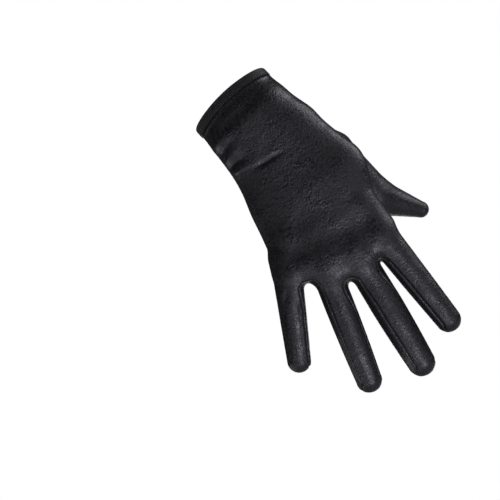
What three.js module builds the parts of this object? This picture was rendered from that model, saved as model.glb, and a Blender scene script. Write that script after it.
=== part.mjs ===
// A wrist length dress glove of black stretch satin, a right-hand one that keeps the form of the hand.
//
// Millimetres, +Z along the wrist out of the cuff, fingers towards -Z, thumb at +X, back of the hand
// towards -Y. The origin is the centre of the wrist opening.
//
// The glove is laid out flat first: a smooth form of the hand stands on its mid plane, y = 0. Each panel
// is a grid of rays from inside the form to its skin, and gets its wall inwards. Last, the hand is bent
// at the wrist.
import * as THREE from "three";

// Cloth and seams
const wall = 1.2;
const seamGap = 0.3;

// Cuff
const wristWidth = 60;
const wristDepth = 40;
const hemHeight = 5.8;
const hemThickness = 2.2;
const hemProud = 0.8;
const hemCrown = 2.3;

// Hand
const palmWidth = 84;
const palmLength = 142;
const palmDepth = 29;
const wristFlex = THREE.MathUtils.degToRad(10);
const bendStart = 10;
const bendLength = 30;
const foldHeight = 1.6;

// Fingers, from the knuckle's centre to the centre of the tip's round end
const littleLength = 66.5;
const ringLength = 96.3;
const middleLength = 101.9;
const indexLength = 96.3;
const fingerWidth = 18.6;
const fingerFlatness = 0.88;

// Thumb
const thumbWidth = 21.4;
const thumbShaft = 44;
const thumbEnd = 34;

// How softly the forms run into each other. sectionPower: 2 is an ellipse, more is squarer.
const fingerBlend = 2.5;
const palmBlend = 5;
const webRound = 9;
const thumbBlend = 7;
const sectionPower = 2.3;

// Forks: the gap where their fans of rays look from, in steps, and the web's rim of cloth
const forkClearance = 0.6;
const forkStep = 0.25;
const webRim = 2.8;

// Grid of the panels, in cells. cuffReach and levelReach: where its close and its level rows end.
const cuffReach = 46;
const levelReach = 94;
const cuffRows = 12;
const palmRows = 7;
const rootRows = 5;
const fingerColumns = 4;
const fingerRows = 11;
const tipRows = 3;
const forkColumns = 4;
const sideColumns = 3;
const hemSides = 48;
const thumbHole = { fromRow: 12, toRow: 18, fromColumn: 17, toColumn: 25 };
const thumbJoinRows = 4;
const thumbShaftRows = 8;

// Where the outer fingers start at the hand's sides, a share of their start at the fork. stripEnd: how far
// the strips run round the tips. turnShare: the share of a finger in which its seams turn and roll.
const outerStart = 0.75;
const stripEnd = 0.86;
const turnShare = 1 / 3;
const insideStep = palmDepth / 8;

// Seams' turns from the middle of a finger's back, and of the tip's end seam from its side
const degrees = THREE.MathUtils.degToRad;
const seamTurn = degrees(55);
const rootSeamTurn = degrees(42);
const sideTurn = degrees(90);
const tipCorner = degrees(45);

// Steps with which rays meet the skin and points settle on it, and the slope is taken
const castSteps = 60;
const castShare = 0.75;
const settleSteps = 12;
const settleShare = 0.8;
const slopeStep = 0.3;

// Sections of the wrist and palm. along: share of palmLength from the rim. left, right: shares of width.
// deep: share of depth, half the section's thickness.
const sections = [
  { along: 0.0, width: wristWidth, left: -0.49, right: 0.49, depth: wristDepth, deep: 0.49 },
  { along: 0.07, width: wristWidth, left: -0.5, right: 0.503, depth: wristDepth, deep: 0.5 },
  { along: 0.176, width: wristWidth, left: -0.525, right: 0.535, depth: wristDepth, deep: 0.47 },
  { along: 0.282, width: palmWidth, left: -0.398, right: 0.422, depth: palmDepth, deep: 0.58 },
  { along: 0.366, width: palmWidth, left: -0.433, right: 0.427, depth: palmDepth, deep: 0.54 },
  { along: 0.465, width: palmWidth, left: -0.495, right: 0.45, depth: palmDepth, deep: 0.505 },
  { along: 0.563, width: palmWidth, left: -0.545, right: 0.479, depth: palmDepth, deep: 0.49 },
  { along: 0.634, width: palmWidth, left: -0.584, right: 0.456, depth: palmDepth, deep: 0.48 },
  { along: 0.704, width: palmWidth, left: -0.616, right: 0.392, depth: palmDepth, deep: 0.47 },
  { along: 0.789, width: palmWidth, left: -0.638, right: 0.325, depth: palmDepth, deep: 0.44 },
  { along: 0.859, width: palmWidth, left: -0.595, right: 0.296, depth: palmDepth, deep: 0.38 },
  { along: 0.958, width: palmWidth, left: -0.524, right: 0.28, depth: palmDepth, deep: 0.32 },
  { along: 1.056, width: palmWidth, left: -0.476, right: 0.262, depth: palmDepth, deep: 0.29 },
].map((row) => ({
  down: row.along * palmLength,
  left: row.left * row.width,
  right: row.right * row.width,
  deep: row.deep * row.depth,
}));

// Where the palm ends between the fingers. across: share of palmWidth. along: share of palmLength.
const forkLine = [
  { across: -0.72, along: 0.76 },
  { across: -0.524, along: 0.893 },
  { across: -0.286, along: 0.995 },
  { across: 0.007, along: 1.009 },
  { across: 0.286, along: 0.965 },
].map((row) => ({ across: row.across * palmWidth, down: row.along * palmLength }));

// The fingers from the outer side inwards. across, along: the knuckle, shares of palmWidth and palmLength.
// splay, roll, curl: degrees. base, middle, tip: shares of fingerWidth.
const fingers = [
  { name: "little", across: -0.536, along: 0.725, length: littleLength, splay: -35, roll: 0, curl: 7,
    base: 1.07, middle: 0.98, tip: 0.85 },
  { name: "ring", across: -0.277, along: 0.761, length: ringLength, splay: -21, roll: 10, curl: 6,
    base: 0.98, middle: 1.06, tip: 0.92 },
  { name: "middle", across: -0.055, along: 0.796, length: middleLength, splay: -11.3, roll: 20, curl: 5,
    base: 1, middle: 1.15, tip: 0.98 },
  { name: "index", across: 0.169, along: 0.761, length: indexLength, splay: -3.9, roll: 16, curl: 5,
    base: 1.16, middle: 1.07, tip: 0.9 },
].map((row) => ({
  name: row.name,
  knuckle: new THREE.Vector3(row.across * palmWidth, 0, -row.along * palmLength),
  ahead: new THREE.Vector3(Math.sin(degrees(row.splay)), 0, -Math.cos(degrees(row.splay))),
  aside: new THREE.Vector3(Math.cos(degrees(row.splay)), 0, Math.sin(degrees(row.splay))),
  length: row.length,
  roll: degrees(row.roll),
  curl: degrees(row.curl),
  radii: [row.base, row.middle, row.tip].map((share) => (share * fingerWidth) / 2),
}));

// Folds of the back, in the order of the wrist, hand and fingers. across, along: the middle, shares of
// palmWidth and palmLength. heading: degrees from the X axis. long, wide: shares of palmWidth.
// rise: share of foldHeight, under zero for a hollow.
const folds = [
  { across: -0.33, along: 0.127, heading: 8, long: 0.1, wide: 0.028, rise: 0.7 },
  { across: -0.33, along: 0.169, heading: 6, long: 0.11, wide: 0.026, rise: -0.9 },
  { across: -0.33, along: 0.204, heading: 4, long: 0.12, wide: 0.03, rise: 0.7 },
  { across: -0.34, along: 0.24, heading: -4, long: 0.11, wide: 0.026, rise: -0.9 },
  { across: -0.34, along: 0.275, heading: -10, long: 0.11, wide: 0.03, rise: 0.7 },
  { across: 0.0, along: 0.07, heading: 0, long: 0.4, wide: 0.06, rise: -0.6 },
  { across: -0.12, along: 0.33, heading: -12, long: 0.1, wide: 0.02, rise: -0.35 },
  { across: -0.44, along: 0.64, heading: 60, long: 0.14, wide: 0.1, rise: 0.7 },
  { across: -0.1, along: 0.8, heading: -16, long: 0.4, wide: 0.1, rise: -0.7 },
  { across: -0.7, along: 0.85, heading: 35, long: 0.1, wide: 0.04, rise: -0.45 },
  { across: -0.73, along: 0.925, heading: 35, long: 0.1, wide: 0.04, rise: -0.4 },
].map((row) => ({
  middle: new THREE.Vector3(row.across * palmWidth, 0, -row.along * palmLength),
  heading: new THREE.Vector3(Math.cos(degrees(row.heading)), 0, Math.sin(degrees(row.heading))),
  long: row.long * palmWidth,
  wide: row.wide * palmWidth,
  rise: row.rise * foldHeight,
}));

// The thumb's bones in the order root, joint, bend and tip. across and deep: shares of palmWidth. along:
// share of palmLength. wide: share of thumbWidth. The last two stand off by thumbShaft and thumbEnd.
const thumbRoot = { across: 0.18, along: 0.18, deep: 0.07, wide: 1.12 };
const thumbJoint = { across: 0.36, along: 0.5, deep: 0.262, wide: 1.03 };
const shaftHeading = new THREE.Vector3(-0.02, 0.33, -0.95).normalize();
const endHeading = new THREE.Vector3(0.515, 0.255, -0.82).normalize();
const thumbBendShare = 1.22;
const thumbTipShare = 0.53;
const thumbFreeShare = 0.34;

const smoothStep = (t) => THREE.MathUtils.smoothstep(t, 0, 1);
const softMin = (a, b, reach) => Math.min(a, b) - (Math.max(reach - Math.abs(a - b), 0) ** 2) / (4 * reach);
const softMax = (a, b, reach) => -softMin(-a, -b, reach);
const mix = THREE.MathUtils.lerp;

// A column's value at a place between a table's rows, on a smooth curve through them.
function through(table, place, column, at) {
  const last = table.length - 1;
  let i = 0;
  while (i < last - 1 && at > table[i + 1][place]) i += 1;
  const slope = (k) => {
    const before = table[Math.max(k - 1, 0)];
    const after = table[Math.min(k + 1, last)];
    return (after[column] - before[column]) / (after[place] - before[place]);
  };
  const step = table[i + 1][place] - table[i][place];
  const t = THREE.MathUtils.clamp((at - table[i][place]) / step, 0, 1);
  const rise = t * t * (3 - 2 * t);
  const ease = step * (t * (1 - t) ** 2 * slope(i) - t * t * (1 - t) * slope(i + 1));
  return mix(table[i][column], table[i + 1][column], rise) + ease;
}

// The section of wrist and palm at a height: its middle, half width and half thickness.
function sectionAt(z) {
  const left = through(sections, "down", "left", -z);
  const right = through(sections, "down", "right", -z);
  const deep = through(sections, "down", "deep", -z);
  return { middle: (left + right) / 2, half: (right - left) / 2, deep };
}

// The palm: superellipse sections, ended softly at the forks of the fingers.
function palmForm(p) {
  const { middle, half, deep } = sectionAt(p.z);
  const across = Math.abs((p.x - middle) / half) ** sectionPower;
  const away = Math.abs(p.y / deep) ** sectionPower;
  const side = ((across + away) ** (1 / sectionPower) - 1) * deep;
  return softMax(side, -through(forkLine, "across", "down", p.x) - p.z, webRound);
}

// How far a finger's axis lies towards the palm, and its radius, at a distance from the knuckle.
function fingerAxis(finger, s) {
  const t = THREE.MathUtils.clamp(s / finger.length, 0, 1);
  const [base, middle, tip] = finger.radii;
  const radius = (1 - t) * (1 - 2 * t) * base + 4 * t * (1 - t) * middle + t * (2 * t - 1) * tip;
  return { sag: 0.5 * Math.sin(finger.curl) * finger.length * t * t, radius };
}

// A finger: a round-ended tube, flatter than wide, round an axis that curls to the palm.
function fingerForm(finger, p) {
  const from = p.clone().sub(finger.knuckle);
  const s = from.dot(finger.ahead);
  const { sag, radius } = fingerAxis(finger, s);
  const beyond = s - THREE.MathUtils.clamp(s, 0, finger.length);
  return Math.hypot(from.dot(finger.aside), (p.y - sag) / fingerFlatness, beyond) - radius;
}

function bonePlace(row) {
  return new THREE.Vector3(row.across * palmWidth, row.deep * palmWidth, -row.along * palmLength);
}
const rootPlace = bonePlace(thumbRoot);
const jointPlace = bonePlace(thumbJoint);
const bendPlace = jointPlace.clone().addScaledVector(shaftHeading, thumbShaft);
const tipPlace = bendPlace.clone().addScaledVector(endHeading, thumbEnd);
const thumbBones = [
  { from: rootPlace, to: jointPlace, fromWide: thumbRoot.wide, toWide: thumbJoint.wide },
  { from: jointPlace, to: bendPlace, fromWide: thumbJoint.wide, toWide: thumbBendShare },
  { from: bendPlace, to: tipPlace, fromWide: thumbBendShare, toWide: thumbTipShare },
];

// A bone of the thumb: a round-ended taper.
function boneForm(bone, p) {
  const run = bone.to.clone().sub(bone.from);
  const t = THREE.MathUtils.clamp(p.clone().sub(bone.from).dot(run) / run.lengthSq(), 0, 1);
  const place = bone.from.clone().addScaledVector(run, t);
  return p.distanceTo(place) - (mix(bone.fromWide, bone.toWide, t) * thumbWidth) / 2;
}

// The folds' rise at a point: each a long soft ridge or hollow, on the back only.
function foldRise(p) {
  if (p.y > 0) return 0;
  let rise = 0;
  for (const fold of folds) {
    const from = p.clone().sub(fold.middle);
    const onward = from.dot(fold.heading);
    const across = from.z * fold.heading.x - from.x * fold.heading.z;
    rise += fold.rise * Math.exp(-((onward / fold.long) ** 2) - (across / fold.wide) ** 2);
  }
  return rise * smoothStep((-2 * p.y) / palmDepth);
}

// The form of the palm and fingers: under zero inside it, about the distance from its skin outside.
function flatForm(p) {
  const inFingers = fingers.map((finger) => fingerForm(finger, p));
  return softMin(palmForm(p), inFingers.reduce((a, b) => softMin(a, b, fingerBlend)), palmBlend);
}

// The form of the whole hand, with the thumb and the folds.
function form(p) {
  const inThumb = thumbBones.map((bone) => boneForm(bone, p)).reduce((a, b) => softMin(a, b, thumbBlend / 2));
  return softMin(flatForm(p), inThumb, thumbBlend) - foldRise(p);
}

// The way out of a form at a point on its skin.
function outward(p, shape = form) {
  const slope = (axis) => {
    const aside = axis.clone().multiplyScalar(slopeStep);
    return shape(p.clone().add(aside)) - shape(p.clone().sub(aside));
  };
  const [x, y, z] = [new THREE.Vector3(1, 0, 0), new THREE.Vector3(0, 1, 0), new THREE.Vector3(0, 0, 1)];
  return new THREE.Vector3(slope(x), slope(y), slope(z)).normalize();
}

// Where a ray from inside a form meets its skin.
function cast(ray, shape = form) {
  const p = ray.from.clone();
  for (let step = 0; step < castSteps; step += 1) p.addScaledVector(ray.heading, -castShare * shape(p));
  return p;
}

// The place on a form's skin nearest to a point, by steps down the form's slope.
function settled(p, shape = form) {
  const q = p.clone();
  for (let step = 0; step < settleSteps; step += 1) {
    q.addScaledVector(outward(q, shape), -settleShare * shape(q));
  }
  return q;
}

// A heading between two others, by turning from one to the other.
function turned(a, b, t) {
  const angle = a.angleTo(b);
  if (angle < 1e-6) return a.clone();
  const start = a.clone().multiplyScalar(Math.sin((1 - t) * angle) / Math.sin(angle));
  return start.addScaledVector(b, Math.sin(t * angle) / Math.sin(angle));
}

// A finger's point on its axis, and its own side and back headings, rolled by its share along the finger.
function fingerFrame(finger, s, along) {
  const from = finger.knuckle.clone().addScaledVector(finger.ahead, s);
  from.y = fingerAxis(finger, s).sag;
  const roll = finger.roll * smoothStep(along / turnShare);
  const back = new THREE.Vector3(0, -1, 0);
  return {
    from,
    aside: finger.aside.clone().multiplyScalar(Math.cos(roll)).addScaledVector(back, -Math.sin(roll)),
    back: back.clone().multiplyScalar(Math.cos(roll)).addScaledVector(finger.aside, Math.sin(roll)),
  };
}

// Each fork: the point in the gap that its fans look at, and where each finger's leg of it starts.
const forks = fingers.slice(1).map((right, i) => {
  const left = fingers[i];
  const row = forkLine[i + 1];
  const heart = new THREE.Vector3(row.across, 0, -row.down);
  const ahead = left.ahead.clone().add(right.ahead).normalize();
  const reach = Math.min(left.length, right.length) / 2;
  for (let moved = 0; moved < reach && form(heart) < forkClearance; moved += forkStep) {
    heart.addScaledVector(ahead, forkStep);
  }
  const start = (finger) => heart.clone().sub(finger.knuckle).dot(finger.ahead);
  return { left, right, heart, leftStart: start(left), rightStart: start(right) };
});

fingers.forEach((finger, i) => {
  const onLeft = forks[i - 1];
  const onRight = forks[i];
  finger.leftStart = onLeft ? onLeft.rightStart : outerStart * onRight.leftStart;
  finger.rightStart = onRight ? onRight.leftStart : outerStart * onLeft.rightStart;
  finger.turns = (along) => {
    const seam = mix(rootSeamTurn, seamTurn, smoothStep(along / turnShare));
    return [onLeft ? -seam : -sideTurn, onRight ? seam : sideTurn];
  };
});

// A ray of a finger's back. share: from its left seam to its right one. k: rows from its root, past
// fingerRows round the tip. The ray turns from the back to the tip's end seam on the mid plane.
function fingerRay(finger, share, k) {
  const start = mix(finger.leftStart, finger.rightStart, share);
  const along = Math.min(k / fingerRows, 1);
  const { from, aside, back } = fingerFrame(finger, mix(start, finger.length, along), along);
  const turn = mix(...finger.turns(along), share);
  const heading = back.clone().multiplyScalar(Math.cos(turn)).addScaledVector(aside, Math.sin(turn));
  if (k <= fingerRows) return { from, heading };
  const corner = mix(Math.PI - tipCorner, tipCorner, share);
  const end = aside.clone().multiplyScalar(Math.cos(corner)).addScaledVector(finger.ahead, Math.sin(corner));
  return { from, heading: turned(heading, end, (k - fingerRows) / tipRows) };
}

// The level ray of a fork's fan on the mid plane, and its start and end on the axes of the two fingers.
// around: from the left finger to the right one.
function forkLevel(fork, around) {
  const legs = [[fork.left, fork.leftStart, 1], [fork.right, fork.rightStart, -1]];
  const [start, end] = legs.map(([finger, s, side]) => {
    const from = finger.knuckle.clone().addScaledVector(finger.ahead, s);
    const heading = finger.aside.clone().multiplyScalar(side);
    return { sag: fingerAxis(finger, s).sag, reach: from.distanceTo(fork.heart), heading };
  });
  const ahead = fork.left.ahead.clone().add(fork.right.ahead).normalize();
  const half = 2 * around;
  const heading = half < 1 ? turned(start.heading, ahead, half) : turned(ahead, end.heading, half - 1);
  const from = fork.heart.clone().addScaledVector(heading, -mix(start.reach, end.reach, around));
  from.y = mix(start.sag, end.sag, around);
  return { from, heading };
}

// How far a fork's seams stand off its heart, on an ellipse: as wide as the fingers' seams leave it at its
// ends, and as high as the web with its rim at its middle.
function forkReach(fork, around) {
  const flatReach = (p) => Math.hypot(p.x - fork.heart.x, p.z - fork.heart.z);
  const ends = [fingerRay(fork.left, 1, 0), fingerRay(fork.right, 0, 0)].map((ray) => flatReach(cast(ray)));
  const wide = mix(...ends, around);
  const high = flatReach(cast(forkLevel(fork, 0.5))) + webRim;
  const turn = Math.PI * around;
  return (wide * high) / Math.hypot(high * Math.cos(turn), wide * Math.sin(turn));
}

// A ray of a fork's fan. up: 1 on the back's seam, 0 between them, -1 on the palm's seam.
function forkRay(fork, around, up) {
  const level = forkLevel(fork, around);
  const seam = fork.heart.clone().addScaledVector(level.heading, -forkReach(fork, around));
  const [toBack, toPalm] = [-1, 1].map((side) => {
    const onSkin = cast({ from: seam.clone().setY(level.from.y), heading: new THREE.Vector3(0, side, 0) });
    return onSkin.sub(level.from).normalize();
  });
  return { from: level.from, heading: turned(toBack, toPalm, (1 - up) / 2) };
}

// The columns across the hand at the roots of the fingers, each with its rays there on both sides. lean:
// the heading in which the rows above them look for the back's skin.
const straightBack = new THREE.Vector3(0, -1, 0);
const rootRays = fingers.flatMap((finger, i) => {
  const rays = [];
  for (let j = 0; j <= fingerColumns; j += 1) {
    const onBack = fingerRay(finger, j / fingerColumns, 0);
    const toGap = onBack.heading.dot(finger.aside) < 0 ? forks[i - 1] : forks[i];
    const lean = toGap ? straightBack : onBack.heading;
    rays.push({ onBack, onPalm: mirrored(finger, onBack, 0), lean, ahead: finger.ahead });
  }
  for (let j = 1; forks[i] && j < forkColumns; j += 1) {
    const [onBack, onPalm] = [1, -1].map((up) => forkRay(forks[i], j / forkColumns, up));
    const ahead = turned(finger.ahead, fingers[i + 1].ahead, j / forkColumns);
    rays.push({ onBack, onPalm, lean: straightBack, ahead });
  }
  return rays;
});
const bodyColumns = rootRays.length - 1;
const levelRows = cuffRows + palmRows;
const bodyRows = levelRows + rootRows;

// The rim's rise at a heading round the wrist: it stands higher over the back.
const rimRise = (heading) => hemCrown * Math.max(0, -heading.y) ** 2;

// A level ray of the wrist or palm. share: from the left side seam over the back to the right one.
function levelRay(share, z) {
  const { middle, half, deep } = sectionAt(z);
  const side = 2 * share - 1;
  return {
    from: new THREE.Vector3(middle + (half - deep) * side, 0, z),
    heading: new THREE.Vector3(Math.sin(side * sideTurn), -Math.cos(side * sideTurn), 0),
  };
}

// A ray on the palm's side in place of one on the back.
const palmSide = (ray) => ({
  from: ray.from,
  heading: new THREE.Vector3(ray.heading.x, -ray.heading.y, ray.heading.z),
});

// A finger's ray mirrored in its own rolled mid plane.
function mirrored(finger, ray, k) {
  const along = Math.min(k / fingerRows, 1);
  const { back } = fingerFrame(finger, 0, along);
  const heading = ray.heading.clone().addScaledVector(back, -2 * ray.heading.dot(back));
  return { from: ray.from, heading };
}

// A point of the grid below the hem, on the back's or the palm's side: close level rows over the cuff,
// wider ones over the palm, and then rows that spread to the roots of the fingers.
function bodyPoint(row, column, onPalm) {
  const root = rootRays[column];
  const rootRay = onPalm ? root.onPalm : root.onBack;
  if (row === bodyRows) return cast(rootRay);
  const share = column / bodyColumns;
  const flip = onPalm ? palmSide : (ray) => ray;
  const top = rimRise(flip(levelRay(share, 0)).heading) - hemHeight;
  const overPalm = mix(-cuffReach, -levelReach, Math.min((row - cuffRows) / palmRows, 1));
  const level = flip(levelRay(share, row < cuffRows ? mix(top, -cuffReach, row / cuffRows) : overPalm));
  let flat = cast(level, flatForm);
  let heading = outward(flat, flatForm);
  if (row > levelRows) {
    const spread = (row - levelRows) / rootRows;
    const lean = flip({ heading: root.lean }).heading;
    heading = level.heading.clone().lerp(lean, smoothStep(spread)).normalize();
    const end = cast(rootRay, flatForm);
    const onAxis = end.clone().addScaledVector(root.ahead, (spread - 1) * flat.distanceTo(end));
    const guide = flat.lerp(end, spread).lerp(onAxis, spread);
    flat = cast({ from: guide.addScaledVector(heading, -2 * insideStep), heading }, flatForm);
  }
  return cast({ from: flat.addScaledVector(heading, -insideStep), heading });
}

// The hand's bend at the wrist, from the flat layout.
function bent(p) {
  const past = -p.z - bendStart;
  if (past <= 0) return p.clone();
  const turn = (wristFlex * Math.min(past, bendLength)) / bendLength;
  const radius = bendLength / wristFlex;
  const straight = Math.max(past - bendLength, 0);
  const y = radius * (1 - Math.cos(turn)) + straight * Math.sin(turn);
  const z = -bendStart - radius * Math.sin(turn) - straight * Math.cos(turn);
  return new THREE.Vector3(p.x, y + p.y * Math.cos(turn), z + p.y * Math.sin(turn));
}

// A cut of cloth: points on the skin and the faces between them, seen from outside. Points at one place
// are one point, so grids that meet are joined.
class Cut {
  constructor() {
    this.points = [];
    this.faces = [];
    this.known = new Map();
  }

  point(p) {
    const key = p.toArray().map((value) => Math.round(value * 100)).join(" ");
    if (!this.known.has(key)) {
      this.known.set(key, this.points.length);
      this.points.push(p);
    }
    return this.known.get(key);
  }

  // A grid of points and its faces. They look out where the rows turn left into the columns, and
  // otherwise it is turned over.
  grid(rows, columns, pointAt, { turnedOver = false, without = () => false } = {}) {
    const ids = [];
    for (let i = 0; i <= rows; i += 1) {
      ids.push([]);
      for (let j = 0; j <= columns; j += 1) ids[i].push(this.point(pointAt(i, j)));
    }
    for (let i = 0; i < rows; i += 1) {
      for (let j = 0; j < columns; j += 1) {
        if (without(i, j)) continue;
        const face = [ids[i][j], ids[i + 1][j], ids[i + 1][j + 1], ids[i][j + 1]];
        const corners = face.filter((id, k) => id !== face[(k + 1) % 4]);
        if (corners.length > 2) this.faces.push(turnedOver ? corners.reverse() : corners);
      }
    }
    return this;
  }

  // The closed wall: the skin drawn back by half the seam's gap at its edges, and its inner side.
  solid() {
    const ways = new Map();
    for (const face of this.faces) {
      face.forEach((a, k) => {
        const b = face[(k + 1) % face.length];
        ways.set(`${a} ${b}`, [a, b]);
      });
    }
    const edges = [...ways.values()].filter(([a, b]) => !ways.has(`${b} ${a}`));
    const normals = this.points.map((p) => outward(p));
    const draw = this.points.map(() => []);
    for (const [a, b] of edges) {
      const run = this.points[b].clone().sub(this.points[a]).normalize();
      for (const id of [a, b]) draw[id].push(normals[id].clone().cross(run).normalize());
    }
    const skin = this.points.map((p, id) => {
      if (!draw[id].length) return p.clone();
      const sum = draw[id].reduce((a, b) => a.clone().add(b));
      const gap = ((seamGap / 2) * draw[id].length) / Math.max(sum.lengthSq(), 0.5);
      return p.clone().addScaledVector(sum, gap);
    });
    const inner = skin.map((p, id) => p.clone().addScaledVector(normals[id], -wall));
    const count = skin.length;
    const index = [];
    const quad = (a, b, c, d) => index.push(a, b, c, a, c, d);
    for (const face of this.faces) {
      for (let k = 2; k < face.length; k += 1) {
        index.push(face[0], face[k - 1], face[k]);
        index.push(face[0] + count, face[k] + count, face[k - 1] + count);
      }
    }
    for (const [a, b] of edges) quad(a, a + count, b + count, b);
    return geometryOf([...skin, ...inner], index);
  }
}

function geometryOf(points, index) {
  const geometry = new THREE.BufferGeometry();
  const places = points.flatMap((p) => bent(p).toArray());
  geometry.setAttribute("position", new THREE.Float32BufferAttribute(places, 3));
  geometry.setIndex(index);
  geometry.computeVertexNormals();
  return geometry;
}

// The back: wrist, hand and the backs of the fingers, in one cut.
function backPanel() {
  const cut = new Cut();
  cut.grid(bodyRows, bodyColumns, (i, j) => bodyPoint(i, j, false));
  for (const finger of fingers) {
    cut.grid(fingerRows + tipRows, fingerColumns, (k, j) => cast(fingerRay(finger, j / fingerColumns, k)));
  }
  return cut.solid();
}

// The palm's side, with a hole for the thumb.
const inHole = (i, j) =>
  i >= thumbHole.fromRow && i < thumbHole.toRow && j >= thumbHole.fromColumn && j < thumbHole.toColumn;

function palmPanel() {
  const cut = new Cut();
  const pointAt = (i, j) => bodyPoint(i, j, true);
  cut.grid(bodyRows, bodyColumns, pointAt, { turnedOver: true, without: inHole });
  for (const finger of fingers) {
    const fingerPoint = (k, j) => cast(mirrored(finger, fingerRay(finger, j / fingerColumns, k), k));
    cut.grid(fingerRows + tipRows, fingerColumns, fingerPoint, { turnedOver: true });
  }
  return cut.solid();
}

// A strip between two fingers: from the left one's tip down its side, round the fork and up to the right
// one's tip. It narrows round the tips.
function fourchette(fork) {
  const legRows = fingerRows + tipRows;
  const leg = (finger, share, row) => ({ finger, share, k: Math.min(row, fingerRows + tipRows * stripEnd) });
  const stations = [];
  for (let row = legRows; row > 0; row -= 1) stations.push(leg(fork.left, 1, row));
  for (let j = 0; j <= forkColumns; j += 1) stations.push({ around: j / forkColumns });
  for (let row = 1; row <= legRows; row += 1) stations.push(leg(fork.right, 0, row));
  const rayAt = (station, up) => {
    if (!station.finger) return forkRay(fork, station.around, up);
    const onBack = fingerRay(station.finger, station.share, station.k);
    const onPalm = mirrored(station.finger, onBack, station.k);
    return { from: onBack.from, heading: turned(onBack.heading, onPalm.heading, (1 - up) / 2) };
  };
  const cut = new Cut();
  const pointAt = (i, j) => cast(rayAt(stations[j], 1 - (2 * i) / sideColumns));
  cut.grid(sideColumns, stations.length - 1, pointAt);
  return cut.solid();
}

// The hem: the cloth turned in and sewn, a soft flat ring round the wrist. The profile's points give the
// share of the thickness inwards and of the height down from the rim.
const hemProfile = [
  { inward: 0.1, down: 1 },
  { inward: 0, down: 0.75 },
  { inward: 0, down: 0.3 },
  { inward: 0.2, down: 0.06 },
  { inward: 0.5, down: 0 },
  { inward: 0.8, down: 0.06 },
  { inward: 1, down: 0.3 },
  { inward: 1, down: 1 },
];

function cuffHem() {
  const points = [];
  for (let side = 0; side < hemSides; side += 1) {
    const share = (2 * side) / hemSides;
    const rayAt = (z) => (share <= 1 ? levelRay(share, z) : palmSide(levelRay(2 - share, z)));
    const rim = rimRise(rayAt(0).heading);
    for (const row of hemProfile) {
      const p = cast(rayAt(rim - row.down * (hemHeight - seamGap / 2)));
      const out = outward(p).setZ(0).normalize();
      points.push(p.addScaledVector(out, hemProud - row.inward * hemThickness));
    }
  }
  const index = [];
  const turns = hemProfile.length;
  for (let side = 0; side < hemSides; side += 1) {
    for (let k = 0; k < turns; k += 1) {
      const next = ((side + 1) % hemSides) * turns;
      const [a, b] = [side * turns + k, side * turns + ((k + 1) % turns)];
      const [c, d] = [next + ((k + 1) % turns), next + k];
      index.push(a, c, b, a, d, c);
    }
  }
  return geometryOf(points, index);
}

// The thumb's axis where it is free of the palm, a curve that leans from its shaft to its end.
function thumbAxis(t) {
  const start = jointPlace.clone().lerp(bendPlace, thumbFreeShare);
  const from = start.clone().lerp(bendPlace, t).lerp(bendPlace.clone().lerp(tipPlace, t), t);
  const ahead = bendPlace.clone().sub(start).lerp(tipPlace.clone().sub(bendPlace), t).normalize();
  const side = new THREE.Vector3(1, 0, 0).addScaledVector(ahead, -ahead.x).normalize();
  return { from, ahead, side, palmar: ahead.clone().cross(side).negate() };
}

// The thumb's hole as one loop of points, each with its turn round the thumb's axis. It starts at the
// wrist's end of the left edge.
function thumbLoop() {
  const { fromRow, toRow, fromColumn, toColumn } = thumbHole;
  const corners = [[fromRow, fromColumn], [fromRow, toColumn], [toRow, toColumn], [toRow, fromColumn]];
  const loop = [];
  corners.forEach(([row, column], corner) => {
    const [nextRow, nextColumn] = corners[(corner + 1) % 4];
    const steps = Math.abs(nextRow - row) + Math.abs(nextColumn - column);
    for (let step = 0; step < steps; step += 1) {
      const t = step / steps;
      const point = bodyPoint(Math.round(mix(row, nextRow, t)), Math.round(mix(column, nextColumn, t)), true);
      loop.push({ point, turn: (corner + t - 0.5) * (Math.PI / 2) });
    }
  });
  return loop;
}

// The thumb: from its hole in the palm to rings round its axis, and round its tip.
function thumb() {
  const loop = thumbLoop();
  const ringRay = (turn, t, rise) => {
    const { from, ahead, side, palmar } = thumbAxis(t);
    const level = palmar.clone().multiplyScalar(Math.cos(turn)).addScaledVector(side, Math.sin(turn));
    return { from, heading: turned(level, ahead, rise) };
  };
  const pointAt = (row, j) => {
    const { point, turn } = loop[j % loop.length];
    if (row === 0) return point;
    const first = cast(ringRay(turn, 0, 0));
    if (row < thumbJoinRows) return settled(point.clone().lerp(first, row / thumbJoinRows));
    const along = (row - thumbJoinRows) / thumbShaftRows;
    return cast(ringRay(turn, Math.min(along, 1), Math.max(0, ((along - 1) * thumbShaftRows) / tipRows)));
  };
  const cut = new Cut();
  cut.grid(thumbJoinRows + thumbShaftRows + tipRows, loop.length, pointAt, { turnedOver: true });
  return cut.solid();
}

const satin = { color: 0x17171c, roughness: 0.42, metalness: 0 };
const hemSatin = { color: 0x121216, roughness: 0.5, metalness: 0 };

function piece(name, geometry, finish) {
  const mesh = new THREE.Mesh(geometry, new THREE.MeshStandardMaterial(finish));
  mesh.name = name;
  return mesh;
}

const glove = new THREE.Group();
glove.name = "wrist_length_dress_glove";
glove.add(piece("cuff_hem", cuffHem(), hemSatin));
glove.add(piece("back_panel", backPanel(), satin));
glove.add(piece("palm_panel", palmPanel(), satin));
for (const fork of forks) {
  glove.add(piece(`fourchette_${fork.left.name}_${fork.right.name}`, fourchette(fork), satin));
}
glove.add(piece("thumb", thumb(), satin));

export default glove;
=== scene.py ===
"""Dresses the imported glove: satin panels with turned seams, strips, a thumb, a hem and its threads.

A wrist length dress glove of black stretch satin, a right-hand one that keeps the form of the hand.
All lengths are millimetres until a mesh is made. +Z runs along the wrist out of the cuff, the fingers
point to -Z, the thumb is at +X and the back of the hand is towards -Y. The hand is laid out flat first,
round the plane y = 0, and bent at the wrist last.
"""
from __future__ import annotations

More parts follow.
